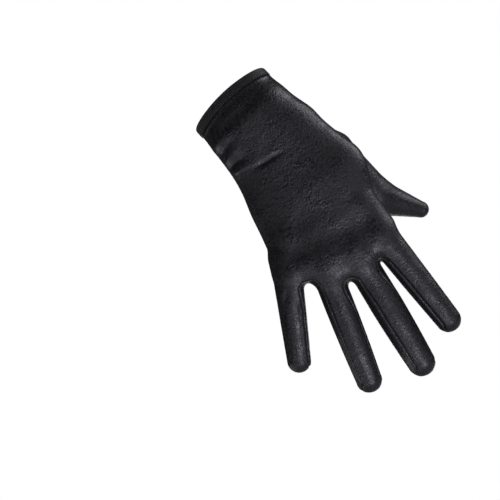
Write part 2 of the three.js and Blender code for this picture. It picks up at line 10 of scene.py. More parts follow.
import logging
from dataclasses import dataclass, field
from enum import Enum
from typing import Callable

import bpy
import numpy as np
from mathutils import Matrix
from numpy.typing import NDArray


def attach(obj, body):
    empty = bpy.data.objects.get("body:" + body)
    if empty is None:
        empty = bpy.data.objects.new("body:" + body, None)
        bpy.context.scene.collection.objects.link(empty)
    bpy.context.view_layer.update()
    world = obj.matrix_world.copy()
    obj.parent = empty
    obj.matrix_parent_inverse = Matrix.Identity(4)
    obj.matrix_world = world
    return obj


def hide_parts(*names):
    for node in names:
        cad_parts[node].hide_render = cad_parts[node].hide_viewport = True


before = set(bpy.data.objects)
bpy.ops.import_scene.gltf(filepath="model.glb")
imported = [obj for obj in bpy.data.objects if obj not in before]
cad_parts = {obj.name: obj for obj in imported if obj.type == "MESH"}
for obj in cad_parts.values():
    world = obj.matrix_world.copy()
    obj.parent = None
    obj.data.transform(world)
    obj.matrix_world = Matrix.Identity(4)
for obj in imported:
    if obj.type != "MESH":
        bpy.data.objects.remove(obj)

LOG = logging.getLogger("glove")
Array = NDArray[np.float64]
Ids = NDArray[np.int64]
Shape = Callable[[Array], Array]
METRE = 0.001
SMALL = 1e-6


class Side(Enum):
    """The two sides of the hand."""

    BACK = 1.0
    PALM = -1.0


# Small maths


def unit(v: Array) -> Array:
    """Vectors of length one along v."""
    return v / np.maximum(np.linalg.norm(v, axis=-1, keepdims=True), 1e-9)


def dot(a: Array, b: Array) -> Array:
    """The dot products of vectors along the last axis."""
    return np.sum(a * b, axis=-1)


def mix(a: Array | float, b: Array | float, t: Array | float) -> Array:
    """The value a share t of the way from a to b."""
    return a + (b - a) * t


def smooth_step(t: Array | float) -> Array:
    """3t^2 - 2t^3 with t held between 0 and 1."""
    t = np.clip(t, 0.0, 1.0)
    return t * t * (3 - 2 * t)


def soft_min(a: Array, b: Array, reach: float) -> Array:
    """The lesser of a and b, rounded off where they differ by under reach."""
    return np.minimum(a, b) - np.maximum(reach - np.abs(a - b), 0) ** 2 / (4 * reach)


def soft_max(a: Array, b: Array, reach: float) -> Array:
    """The greater of a and b, rounded off in the same way."""
    return -soft_min(-a, -b, reach)


def bump(x: Array, wide: float) -> Array:
    """A bell of height 1 and half width wide: exp(-(x / wide)^2)."""
    return np.exp(-((x / wide) ** 2))


def turned(a: Array, b: Array, t: Array | float) -> Array:
    """Headings between a and b by turning from one to the other.

    Args:
        a: Unit headings at t = 0.
        b: Unit headings at t = 1.
        t: Share of the turn.

    Returns:
        a sin((1 - t) w) / sin w + b sin(t w) / sin w, with w the angle between them.
    """
    t = np.asarray(t)[..., None]
    angle = np.arctan2(np.linalg.norm(np.cross(a, b), axis=-1), dot(a, b))[..., None]
    safe = np.where(angle < 1e-6, 1.0, np.sin(angle))
    arc = a * np.sin((1 - t) * angle) / safe + b * np.sin(t * angle) / safe
    return np.where(angle < 1e-6, a + 0 * arc, arc)


def through(places: Array, values: Array, at: Array) -> Array:
    """A smooth curve through a table's rows.

    Args:
        places: The rows' places, rising.
        values: The rows' values.
        at: Where the curve is read.

    Returns:
        Cubic steps between the rows, with the slope at a row taken between its neighbours.
    """
    last = len(places) - 1
    before, after = np.maximum(np.arange(last + 1) - 1, 0), np.minimum(np.arange(last + 1) + 1, last)
    slope = (values[after] - values[before]) / (places[after] - places[before])
    i = np.clip(np.searchsorted(places, at, side="left") - 1, 0, last - 1)
    step = places[i + 1] - places[i]
    t = np.clip((at - places[i]) / step, 0, 1)
    ease = step * (t * (1 - t) ** 2 * slope[i] - t * t * (1 - t) * slope[i + 1])
    return mix(values[i], values[i + 1], t * t * (3 - 2 * t)) + ease


def grid(first: Array, second: Array) -> tuple[Array, Array]:
    """Two parameters spread over rows and columns."""
    return tuple(np.meshgrid(first, second, indexing="ij"))


def cells(ids: Ids) -> Ids:
    """The four corners of each cell of a grid of point numbers, from its rows round to its columns."""
    return np.stack([ids[:-1, :-1], ids[1:, :-1], ids[1:, 1:], ids[:-1, 1:]], axis=-1)


def vector(x: float, y: float, z: float) -> Array:
    """A vector as an array."""
    return np.array([x, y, z], float)


UP = vector(0, 0, 1)
BACKWARD = vector(0, -1, 0)


@dataclass
class Ray:
    """Rays from inside the hand to its surface: where they start and which way they go."""

    start: Array
    heading: Array


# The hand's form


@dataclass(frozen=True)
class Section:
    """A section of wrist and palm: its place, its edges left and right, and half its thickness."""

    down: float
    left: float
    right: float
    deep: float


@dataclass(frozen=True)
class Finger:
    """A finger: its knuckle, its splay, roll and curl in degrees, and its radii."""

    name: str
    across: float
    down: float
    length: float
    splay: float
    roll: float
    curl: float
    radii: tuple[float, float, float]

    @property
    def knuckle(self) -> Array:
        """The knuckle's centre."""
        return vector(self.across, 0, -self.down)

    @property
    def ahead(self) -> Array:
        """The heading of the finger."""
        splay = np.radians(self.splay)
        return vector(np.sin(splay), 0, -np.cos(splay))

    @property
    def aside(self) -> Array:
        """The heading across the finger, to the thumb's side."""
        splay = np.radians(self.splay)
        return vector(np.cos(splay), 0, np.sin(splay))


@dataclass(frozen=True)
class Bone:
    """A bone of the thumb: a round-ended taper between two places."""

    start: tuple[float, float, float]
    end: tuple[float, float, float]
    start_radius: float
    end_radius: float


@dataclass(frozen=True)
class Fold:
    """A long soft ridge, or a hollow where rise is under zero, on the plan of the hand's back."""

    across: float
    down: float
    heading: float
    long: float
    wide: float
    rise: float

    def rise_at(self, p: Array) -> Array:
        """The rise at points: a bell along the fold times a bell across it."""
        turn = np.radians(self.heading)
        x, z = p[..., 0] - self.across, p[..., 2] + self.down
        along = x * np.cos(turn) + z * np.sin(turn)
        across = z * np.cos(turn) - x * np.sin(turn)
        return self.rise * np.exp(-((along / self.long) ** 2) - (across / self.wide) ** 2)


@dataclass(frozen=True)
class Hand:
    """The form that the glove keeps, as in the solids."""

    palm_depth: float = 29.0
    wrist_flex: float = 10.0
    bend_start: float = 10.0
    bend_length: float = 30.0
    flatness: float = 0.88
    finger_blend: float = 2.5
    palm_blend: float = 5.0
    web_round: float = 9.0
    thumb_blend: float = 7.0
    power: float = 2.3
    slope_step: float = 0.3
    cast_tries: int = 60
    cast_share: float = 0.75
    cast_close: float = 1e-4
    settle_tries: int = 12
    settle_share: float = 0.8
    sections: tuple[Section, ...] = (
        Section(0.0, -29.7, 29.7, 19.6),
        Section(9.94, -30.0, 30.18, 20.0),
        Section(24.99, -31.5, 32.1, 18.8),
        Section(40.04, -33.43, 35.45, 16.82),
        Section(51.97, -36.37, 35.87, 15.66),
        Section(66.03, -41.58, 37.8, 14.64),
        Section(79.95, -45.78, 40.24, 14.21),
        Section(90.03, -49.06, 38.3, 13.92),
        Section(99.97, -51.74, 32.93, 13.63),
        Section(112.04, -53.59, 27.3, 12.76),
        Section(121.98, -49.98, 24.86, 11.02),
        Section(136.04, -44.02, 23.52, 9.28),
        Section(149.95, -39.98, 22.01, 8.41),
    )
    fork_line: tuple[tuple[float, float], ...] = (
        (-60.48, 107.92),
        (-44.016, 126.806),
        (-24.024, 141.29),
        (0.588, 143.278),
        (24.024, 137.03),
    )
    fingers: tuple[Finger, ...] = (
        Finger("little", -45.024, 102.95, 66.5, -35, 0.0, 7.0, (9.951, 9.114, 7.905)),
        Finger("ring", -23.268, 108.062, 96.3, -21, 10.0, 6.0, (9.114, 9.858, 8.556)),
        Finger("middle", -4.62, 113.032, 101.9, -11.3, 20.0, 5.0, (9.3, 10.695, 9.114)),
        Finger("index", 14.196, 108.062, 96.3, -3.9, 16.0, 5.0, (10.788, 9.951, 8.37)),
    )
    bones: tuple[Bone, ...] = (
        Bone((15.12, 5.88, -25.56), (30.24, 22.008, -71.0), 11.984, 11.021),
        Bone((30.24, 22.008, -71.0), (29.365, 36.443, -112.556), 11.021, 13.054),
        Bone((29.365, 36.443, -112.556), (46.852, 45.102, -140.399), 13.054, 5.671),
    )
    folds: tuple[Fold, ...] = (
        Fold(-27.72, 18.03, 8.0, 8.4, 2.35, 0.48),
        Fold(-27.72, 24.0, 6.0, 9.24, 2.18, -0.64),
        Fold(-27.72, 28.97, 4.0, 10.08, 2.52, 0.48),
        Fold(-28.56, 34.08, -4.0, 9.24, 2.18, -0.64),
        Fold(-28.56, 39.05, -10.0, 9.24, 2.52, 0.48),
        Fold(0.0, 9.94, 0.0, 33.6, 5.04, -0.96),
        Fold(-10.08, 46.86, -12.0, 8.4, 1.68, -0.56),
        Fold(-36.96, 90.88, 60.0, 11.76, 8.4, 1.12),
        Fold(-8.4, 113.6, -16.0, 33.6, 8.4, -1.12),
        Fold(-58.8, 120.7, 35.0, 8.4, 3.36, -0.72),
        Fold(-61.32, 131.35, 35.0, 8.4, 3.36, -0.64),
    )

    def column(self, name: str) -> tuple[Array, Array]:
        """The places and one column of the table of sections."""
        return (
            np.array([row.down for row in self.sections]),
            np.array([getattr(row, name) for row in self.sections]),
        )

    def section(self, z: Array) -> tuple[Array, Array, Array]:
        """The middle, half width and half thickness of the wrist or palm at a height."""
        left, right, deep = (through(*self.column(name), -z) for name in ("left", "right", "deep"))
        return (left + right) / 2, (right - left) / 2, deep

    def palm_form(self, p: Array) -> Array:
        """The palm.

        Args:
            p: Points on the flat layout.

        Returns:
            (|x|^n + |y|^n)^(1/n) - 1 in shares of each section, softly ended at the forks' line.
        """
        middle, half, deep = self.section(p[..., 2])
        across = np.abs((p[..., 0] - middle) / half) ** self.power
        away = np.abs(p[..., 1] / deep) ** self.power
        side = ((across + away) ** (1 / self.power) - 1) * deep
        line = np.array(self.fork_line)
        return soft_max(side, -through(line[:, 0], line[:, 1], p[..., 0]) - p[..., 2], self.web_round)

    def finger_axis(self, finger: Finger, s: Array) -> tuple[Array, Array]:
        """How far a finger's axis lies towards the palm, and its radius, at a distance from the knuckle."""
        t = np.clip(s / finger.length, 0, 1)
        base, middle, tip = finger.radii
        radius = (1 - t) * (1 - 2 * t) * base + 4 * t * (1 - t) * middle + t * (2 * t - 1) * tip
        return 0.5 * np.sin(np.radians(finger.curl)) * finger.length * t * t, radius

    def finger_form(self, finger: Finger, p: Array) -> Array:
        """A finger: a round-ended tube, flatter than wide, round an axis that curls to the palm."""
        start = p - finger.knuckle
        s = dot(start, finger.ahead)
        sag, radius = self.finger_axis(finger, s)
        beyond = s - np.clip(s, 0, finger.length)
        away = (p[..., 1] - sag) / self.flatness
        return np.sqrt(dot(start, finger.aside) ** 2 + away**2 + beyond**2) - radius

    def bone_form(self, bone: Bone, p: Array) -> Array:
        """A bone: the distance to its nearest place, less the radius there."""
        start, run = np.array(bone.start), np.array(bone.end) - np.array(bone.start)
        t = np.clip(dot(p - start, run) / dot(run, run), 0, 1)
        place = start + t[..., None] * run
        return np.linalg.norm(p - place, axis=-1) - mix(bone.start_radius, bone.end_radius, t)

    def flat_form(self, p: Array) -> Array:
        """The palm and fingers: under zero inside, about the distance from the surface outside."""
        fingers = self.finger_form(self.fingers[0], p)
        for finger in self.fingers[1:]:
            fingers = soft_min(fingers, self.finger_form(finger, p), self.finger_blend)
        return soft_min(self.palm_form(p), fingers, self.palm_blend)

    def fold_rise(self, p: Array) -> Array:
        """The main folds' rise, on the back only."""
        rise = sum(fold.rise_at(p) for fold in self.folds)
        return rise * smooth_step(-2 * p[..., 1] / self.palm_depth)

    def form(self, p: Array) -> Array:
        """The whole hand, with the thumb and the main folds."""
        thumb = self.bone_form(self.bones[0], p)
        for bone in self.bones[1:]:
            thumb = soft_min(thumb, self.bone_form(bone, p), self.thumb_blend / 2)
        return soft_min(self.flat_form(p), thumb, self.thumb_blend) - self.fold_rise(p)

    def outward(self, p: Array, shape: Shape | None = None) -> Array:
        """The way out of a form at points on its surface: the slope of the form, by differences."""
        shape, step = shape or self.form, self.slope_step
        sides = [shape(p + step * axis) - shape(p - step * axis) for axis in np.eye(3)]
        return unit(np.stack(sides, axis=-1))

    def cast(self, ray: Ray, shape: Shape | None = None) -> Array:
        """Where rays from inside a form meet its surface.

        Args:
            ray: The rays.
            shape: The form, or the whole hand's.

        Returns:
            Points reached by steps of a share of the form's value, until all of them are there.
        """
        shape = shape or self.form
        p = ray.start + 0 * ray.heading
        for _ in range(self.cast_tries):
            value = shape(p)
            p = p - self.cast_share * value[..., None] * ray.heading
            if np.max(np.abs(value), initial=0) < self.cast_close:
                break
        return p

    def settled(self, p: Array) -> Array:
        """The places on the surface nearest to points, by steps down the form's slope."""
        for _ in range(self.settle_tries):
            p = p - self.settle_share * self.form(p)[..., None] * self.outward(p)
        return p

    def bent(self, p: Array) -> Array:
        """The hand bent at the wrist: an arc of bend_length from bend_start on, and straight past it."""
        flex = np.radians(self.wrist_flex)
        past = np.maximum(-p[..., 2] - self.bend_start, 0)
        turn = flex * np.minimum(past, self.bend_length) / self.bend_length
        radius, straight = self.bend_length / flex, np.maximum(past - self.bend_length, 0)
        y = radius * (1 - np.cos(turn)) + straight * np.sin(turn) + p[..., 1] * np.cos(turn)
        z = -self.bend_start - radius * np.sin(turn) - straight * np.cos(turn) + p[..., 1] * np.sin(turn)
        z = np.where(past > 0, z, p[..., 2])
        return np.stack([p[..., 0], np.where(past > 0, y, p[..., 1]), z], axis=-1)


# How the panels lie on the hand


@dataclass
class Fork:
    """The place between two fingers from which the rays of the web spread."""

    left: Finger
    right: Finger
    heart: Array

    @property
    def ahead(self) -> Array:
        """The heading between the two fingers' headings."""
        return unit(self.left.ahead + self.right.ahead)

    def start_of(self, finger: Finger) -> float:
        """Where a finger's seam starts beside the fork, from its knuckle."""
        return float(dot(self.heart - finger.knuckle, finger.ahead))


@dataclass
class Layout:
    """The grids of rays that the panels lie on. Rows run down the hand, columns from left to right."""

    hand: Hand
    hem_height: float = 5.8
    hem_crown: float = 2.3
    cuff_reach: float = 46.0
    level_reach: float = 94.0
    cuff_rows: int = 12
    palm_rows: int = 7
    root_rows: int = 5
    finger_columns: int = 4
    fork_columns: int = 4
    finger_rows: int = 11
    tip_rows: int = 3
    web_rim: float = 2.8
    clearance: float = 0.6
    fork_lean: float = 0.25
    outer_start: float = 0.75
    seam_turn: float = 55.0
    root_seam_turn: float = 42.0
    side_turn: float = 90.0
    tip_corner: float = 45.0
    turn_share: float = 1 / 3
    inside_step: float = 29.0 / 8
    heart_step: float = 0.25
    forks: list[Fork] = field(default_factory=list)

    def __post_init__(self) -> None:
        """Finds the forks' hearts in the gaps between the fingers."""
        line = self.hand.fork_line[1:-1]
        for left, right, (across, down) in zip(self.hand.fingers, self.hand.fingers[1:], line):
            fork = Fork(left, right, vector(across, 0, -down))
            while self.hand.form(fork.heart) < self.clearance:
                fork.heart = fork.heart + self.heart_step * fork.ahead
            self.forks.append(fork)

    @property
    def level_rows(self) -> int:
        """Rows that stay level, from the hem down."""
        return self.cuff_rows + self.palm_rows

    @property
    def body_rows(self) -> int:
        """Rows from the hem to the roots of the fingers."""
        return self.level_rows + self.root_rows

    @property
    def body_columns(self) -> int:
        """Columns across the hand, over four fingers and three forks."""
        return len(self.hand.fingers) * self.finger_columns + len(self.forks) * self.fork_columns

    def starts(self, finger: Finger) -> tuple[float, float]:
        """Where a finger's left and right seams start, from its knuckle."""
        at = self.hand.fingers.index(finger)
        left = self.forks[at - 1].start_of(finger) if at > 0 else None
        right = self.forks[at].start_of(finger) if at < len(self.forks) else None
        return left or self.outer_start * right, right or self.outer_start * left

    def finger_frame(self, finger: Finger, s: Array, along: Array) -> tuple[Array, Array, Array]:
        """A finger's axis point, and its side and back headings, rolled by its share along it."""
        sag = self.hand.finger_axis(finger, s)[0]
        start = finger.knuckle + s[..., None] * finger.ahead
        start = start + np.stack([0 * sag, sag, 0 * sag], axis=-1)
        roll = (np.radians(finger.roll) * smooth_step(along / self.turn_share))[..., None]
        aside = finger.aside * np.cos(roll) - BACKWARD * np.sin(roll)
        return start, aside, BACKWARD * np.cos(roll) + finger.aside * np.sin(roll)

    def finger_ray(self, finger: Finger, share: Array, k: Array, side: Side = Side.BACK) -> Ray:
        """Rays of a finger's back or palm side.

        Args:
            finger: The finger.
            share: From its left seam, 0, to its right seam, 1.
            k: Rows from its root. Past finger_rows they go round the tip to the end seam.
            side: The palm's rays are the back's, mirrored in the finger's own mid plane.

        Returns:
            Rays from the finger's axis.
        """
        share, k = np.broadcast_arrays(np.asarray(share, float), np.asarray(k, float))
        at = self.hand.fingers.index(finger)
        along = np.minimum(k / self.finger_rows, 1)
        s = mix(mix(*self.starts(finger), share), finger.length, along)
        start, aside, back = self.finger_frame(finger, s, along)
        seam = np.radians(mix(self.root_seam_turn, self.seam_turn, smooth_step(along / self.turn_share)))
        outer = np.full_like(seam, np.radians(self.side_turn))
        low = -seam if at > 0 else -outer
        high = seam if at < len(self.forks) else outer
        turn = mix(low, high, share)[..., None]
        heading = back * np.cos(turn) + aside * np.sin(turn)
        corner = np.radians(mix(180 - self.tip_corner, self.tip_corner, share))[..., None]
        end = aside * np.cos(corner) + finger.ahead * np.sin(corner)
        heading = turned(heading, end, np.clip((k - self.finger_rows) / self.tip_rows, 0, 1))
        if side is Side.PALM:
            heading = heading - 2 * dot(heading, back)[..., None] * back
        return Ray(start, heading)

    def fork_level(self, fork: Fork, around: Array) -> Ray:
        """The level rays of a fork's fan, from the left finger, 0, to the right one, 1."""
        around = np.asarray(around, float)
        legs = []
        for finger, side in ((fork.left, 1), (fork.right, -1)):
            s = fork.start_of(finger)
            start = finger.knuckle + s * finger.ahead
            reach = np.linalg.norm(start - fork.heart)
            legs.append((float(self.hand.finger_axis(finger, np.array(s))[0]), reach, side * finger.aside))
        (left_sag, left_reach, left_way), (right_sag, right_reach, right_way) = legs
        first = turned(left_way, fork.ahead, np.clip(2 * around, 0, 1))
        second = turned(fork.ahead, right_way, np.clip(2 * around - 1, 0, 1))
        heading = np.where((around < 0.5)[..., None], first, second)
        start = fork.heart - heading * mix(left_reach, right_reach, around)[..., None]
        start[..., 1] = mix(left_sag, right_sag, around)
        return Ray(start, heading)

    def fork_reach(self, fork: Fork, around: Array) -> Array:
        """How far a fork's seams stand off its heart: an ellipse, as high as the web and its rim."""
        rays = (self.finger_ray(fork.left, 1, 0), self.finger_ray(fork.right, 0, 0))
        plan = np.array([1, 0, 1])
        left, right = (np.linalg.norm((self.hand.cast(ray) - fork.heart) * plan) for ray in rays)
        middle = self.hand.cast(self.fork_level(fork, np.array(0.5)))
        high = np.linalg.norm((middle - fork.heart) * plan) + self.web_rim
        wide, turn = mix(left, right, around), np.pi * around
        return wide * high / np.hypot(high * np.cos(turn), wide * np.sin(turn))

    def fork_ray(self, fork: Fork, around: Array, up: Array) -> Ray:
        """Rays of a fork's fan. up: 1 on the back's seam, 0 between them, -1 on the palm's seam."""
        around, up = np.broadcast_arrays(np.asarray(around, float), np.asarray(up, float))
        level = self.fork_level(fork, around)
        seam = fork.heart - level.heading * self.fork_reach(fork, around)[..., None]
        seam[..., 1] = level.start[..., 1]
        ends = [self.hand.cast(Ray(seam, np.broadcast_to(way, seam.shape))) for way in (BACKWARD, -BACKWARD)]
        back, palm = (unit(end - level.start) for end in ends)
        return Ray(level.start, turned(back, palm, (1 - up) / 2))

    def root_rays(self, columns: Array, side: Side) -> tuple[Ray, Array, Array]:
        """The rays at the roots of the fingers.

        Args:
            columns: Columns across the hand.
            side: The back's rays or the palm's.

        Returns:
            The rays, the headings in which the rows above look for the surface, and the columns' headings
            at the roots: the fingers' own, which lean away from each fork so that columns don't cross.
        """
        start, heading, lean, ahead = (np.zeros((len(columns), 3)) for _ in range(4))
        pair = self.finger_columns + self.fork_columns
        for i, finger in enumerate(self.hand.fingers):
            here = (columns >= i * pair) & (columns <= i * pair + self.finger_columns)
            share = (columns[here] - i * pair) / self.finger_columns
            ray, back = (self.finger_ray(finger, share, 0, way) for way in (side, Side.BACK))
            start[here], heading[here] = ray.start, ray.heading
            outer = (share < 0.5) if i == 0 else (share > 0.5) & (i == len(self.forks))
            aside = np.where(outer, 0, self.fork_lean * (2 * share - 1))
            ahead[here] = unit(finger.ahead + aside[:, None] * finger.aside)
            lean[here] = np.where(outer[:, None], back.heading, BACKWARD)
        for i, fork in enumerate(self.forks):
            first = i * pair + self.finger_columns
            here = (columns > first) & (columns < first + self.fork_columns)
            around = (columns[here] - first) / self.fork_columns
            ray = self.fork_ray(fork, around, np.full_like(around, side.value))
            start[here], heading[here], lean[here] = ray.start, ray.heading, BACKWARD
            onward = turned(fork.left.ahead, fork.right.ahead, around)
            aside = np.stack([-onward[:, 2], 0 * around, onward[:, 0]], axis=-1)
            ahead[here] = unit(onward + (self.fork_lean * (1 - 2 * around))[:, None] * aside)
        return Ray(start, heading), lean, ahead

    def rim_rise(self, heading: Array) -> Array:
        """How much higher the rim stands, over the back."""
        return self.hem_crown * np.maximum(0, -heading[..., 1]) ** 2

    def level_ray(self, share: Array, z: Array, side: Side = Side.BACK) -> Ray:
        """Level rays of wrist and palm, from the left side seam, 0, over a side to the right one, 1."""
        share, z = np.broadcast_arrays(np.asarray(share, float), np.asarray(z, float))
        middle, half, deep = self.hand.section(z)
        across = 2 * share - 1
        turn = np.radians(self.side_turn) * across
        start = np.stack([middle + (half - deep) * across, 0 * z, z], axis=-1)
        return Ray(start, np.stack([np.sin(turn), -side.value * np.cos(turn), 0 * z], axis=-1))

    def body_points(self, rows: Array, columns: Array, side: Side) -> Array:
        """The grid below the hem: close level rows, wider ones, and rows that spread to the fingers.

        Args:
            rows: Rows down the hand, 0 at the hem.
            columns: Columns across it.
            side: The back or the palm.

        Returns:
            Points on the surface. In the last rows a column bends from straight down to its finger's heading.
        """
        hand, flip = self.hand, np.array([1, side.value, 1])
        root, lean, ahead = self.root_rays(columns, side)
        row, share = grid(rows, columns / self.body_columns)
        top = self.rim_rise(self.level_ray(share, 0.0, side).heading) - self.hem_height
        down_cuff, down_palm = row / self.cuff_rows, (row - self.cuff_rows) / self.palm_rows
        over_palm = mix(-self.cuff_reach, -self.level_reach, np.clip(down_palm, 0, 1))
        in_cuff = mix(top, -self.cuff_reach, np.clip(down_cuff, 0, 1))
        level = self.level_ray(share, np.where(row < self.cuff_rows, in_cuff, over_palm), side)
        flat = hand.cast(level, hand.flat_form)
        heading = hand.outward(flat, hand.flat_form)
        low = rows > self.level_rows
        if np.any(low):
            spread = ((row[low] - self.level_rows) / self.root_rows)[..., None]
            way = unit(mix(level.heading[low], lean * flip, smooth_step(spread)))
            end = hand.cast(root, hand.flat_form)
            run = np.linalg.norm(flat[low] - end, axis=-1, keepdims=True)
            guide = mix(mix(flat[low], end, spread), end + ahead * (spread - 1) * run, spread)
            flat[low] = hand.cast(Ray(guide - 2 * self.inside_step * way, way), hand.flat_form)
            heading[low] = way
        points = hand.cast(Ray(flat - self.inside_step * heading, heading))
        if rows[-1] >= self.body_rows:
            points[-1] = hand.cast(root)
        return points


# Cloth


@dataclass
class Patch:
    """A grid of points, seen from outside where its rows turn left into its columns, or turned over.

    at: the place of its first row's middle on the flat cloth.
    """

    points: Array
    turned_over: bool = False
    missing: NDArray[np.bool_] | None = None
    at: tuple[float, float] = (0.0, 0.0)

    def faces(self) -> Ids:
        """Four corners for each cell of the grid that isn't missing."""
        rows, columns = self.points.shape[:2]
        ids = np.arange(rows * columns).reshape(rows, columns)
        kept = cells(ids).reshape(-1, 4) if self.missing is None else cells(ids)[~self.missing]
        return kept[:, ::-1] if self.turned_over else kept

    def on_cloth(self) -> Array:
        """Each point's place on the flat cloth: its length across from the middle column, and down."""
        across = np.linalg.norm(np.diff(self.points, axis=1), axis=-1).cumsum(axis=1)
        across = np.pad(across, ((0, 0), (1, 0)))
        across -= across[:, across.shape[1] // 2][:, None]
        down = np.linalg.norm(np.diff(self.points, axis=0), axis=-1).mean(axis=1).cumsum()
        down = np.pad(down, (1, 0))[:, None] + 0 * across
        return np.stack([across + self.at[0], down + self.at[1]], axis=-1)


@dataclass
class Cloth:
    """Cloth laid on the hand, with a wall inwards, a lip and a groove at its seams, and puckers."""

    hand: Hand
    wall: float = 1.2
    seam_gap: float = 0.3
    lip: float = 0.22
    lip_at: float = 1.5
    lip_wide: float = 0.9
    groove: float = 0.5
    groove_wide: float = 0.75
    pucker: float = 0.035
    pucker_length: float = 3.4
    pucker_reach: float = 3.0
    pucker_drift: float = 1.3
    pucker_drift_length: float = 7.1
    pucker_run: tuple[float, float, float] = (0.7, 0.35, 1.0)
    most_inside: float = 0.3
    weld_digits: int = 2
    block: int = 4000

    def edges(self, faces: Ids) -> Ids:
        """The open edges of faces, in the direction of the face that they are on."""
        run = np.concatenate([faces[:, [k, (k + 1) % 4]] for k in range(4)])
        run = run[run[:, 0] != run[:, 1]]
        count = int(faces.max()) + 1
        ways, back = run[:, 0] * count + run[:, 1], run[:, 1] * count + run[:, 0]
        return run[~np.isin(ways, back)]

    def nearest(self, points: Array, others: Array) -> tuple[Array, Ids]:
        """The distance to the nearest of some other points, and which one it is, in blocks of rows."""
        distance, which = np.empty(len(points)), np.empty(len(points), np.int64)
        for start in range(0, len(points), self.block):
            rows = slice(start, start + self.block)
            part = points[rows]
            square = (part**2).sum(1)[:, None] + (others**2).sum(1)[None] - 2 * part @ others.T
            which[rows], distance[rows] = square.argmin(1), np.sqrt(np.maximum(square.min(1), 0))
        return distance, which

    def edge_rise(self, distance: Array, along: Array) -> Array:
        """The relief beside a seam.

        Args:
            distance: Distance from the seam.
            along: A length that grows along the seam.

        Returns:
            A low lip beside the seam, a groove in it, and puckers that die away from it.
        """
        lip = self.lip * bump(distance - self.lip_at, self.lip_wide)
        groove = self.groove * bump(distance, self.groove_wide)
        drift = self.pucker_drift * np.sin(along / self.pucker_drift_length)
        wave = np.sin(2 * np.pi * along / self.pucker_length + drift)
        return lip - groove + self.pucker * np.exp(-distance / self.pucker_reach) * wave

    def joined(self, patches: list[Patch]) -> tuple[Array, Ids, Array]:
        """The points, faces and places on the flat cloth of patches, with points at one place made one."""
        starts = np.cumsum([0] + [patch.points[..., 0].size for patch in patches])
        every = np.concatenate([patch.points.reshape(-1, 3) for patch in patches])
        places = np.concatenate([patch.on_cloth().reshape(-1, 2) for patch in patches])
        faces = np.concatenate([patch.faces() + start for patch, start in zip(patches, starts)])
        _, first, which = np.unique(
            np.round(every, self.weld_digits), axis=0, return_index=True, return_inverse=True
        )
        faces = which.reshape(-1)[faces]
        faces = faces[np.sum(faces == np.roll(faces, 1, axis=1), axis=1) < 2]
        used, corners = np.unique(faces, return_inverse=True)
        return every[first][used], corners.reshape(faces.shape), places[first][used]

    def solid(self, patches: list[Patch], relief: Shape) -> tuple[Array, Ids, Array]:
        """The closed wall of a cut.

        Args:
            patches: Its grids.
            relief: The rise of creases at points of the flat layout.

        Returns:
            Points of the bent hand, faces, and each point's place on the flat cloth.
        """
        hand = self.hand
        surface, faces, places = self.joined(patches)
        normals = hand.outward(surface)
        edges = self.edges(faces)
        draw, share = np.zeros_like(surface), np.zeros(len(surface))
        run = unit(surface[edges[:, 1]] - surface[edges[:, 0]])
        for end in (0, 1):
            np.add.at(draw, edges[:, end], unit(np.cross(normals[edges[:, end]], run)))
            np.add.at(share, edges[:, end], 1)
        rim = surface[share > 0]
        distance, which = self.nearest(surface, rim)
        rise = self.edge_rise(distance, rim[which] @ vector(*self.pucker_run)) + relief(surface)
        surface = surface + draw * (self.seam_gap / 2 * share / np.maximum(dot(draw, draw), 0.5))[:, None]
        outer = surface + normals * rise[:, None]
        inner = surface + normals * (np.minimum(rise, self.most_inside) - self.wall)[:, None]
        count = len(surface)
        walls = np.stack([edges[:, 0], edges[:, 0] + count, edges[:, 1] + count, edges[:, 1]], axis=-1)
        every = np.concatenate([faces, faces[:, ::-1] + count, walls])
        return hand.bent(np.concatenate([outer, inner])), every, np.concatenate([places, places])


def mesh_object(
    name: str, points: Array, faces: Ids, places: Array | None = None
) -> bpy.types.Object:
    """A smooth mesh object at the origin.

    Args:
        name: The piece's name.
        points: Its points in millimetres.
        faces: Four corners for each face. A corner given twice in turn makes a triangle.
        places: Each point's place on the flat cloth, kept as its UV map in millimetres.

    Returns:
        The object, linked to the scene.
    """
    mesh = bpy.data.meshes.new(name)
    kept = faces != np.roll(faces, 1, axis=1)
    corners, totals = faces[kept], kept.sum(axis=1)
    mesh.vertices.add(len(points))
    mesh.vertices.foreach_set("co", (points * METRE).astype(np.float32).ravel())
    mesh.loops.add(len(corners))
    mesh.loops.foreach_set("vertex_index", corners.astype(np.int32))
    mesh.polygons.add(len(faces))
    mesh.polygons.foreach_set("loop_start", (np.cumsum(totals) - totals).astype(np.int32))
    mesh.polygons.foreach_set("use_smooth", np.ones(len(faces), bool))
    if places is not None:
        layer = mesh.uv_layers.new(name="cloth")
        layer.data.foreach_set("uv", places[corners].astype(np.float32).ravel())
    mesh.update(calc_edges=True)
    mesh.validate()
    thing = bpy.data.objects.new(name, mesh)
    bpy.context.scene.collection.objects.link(thing)
    return thing


# Finishes


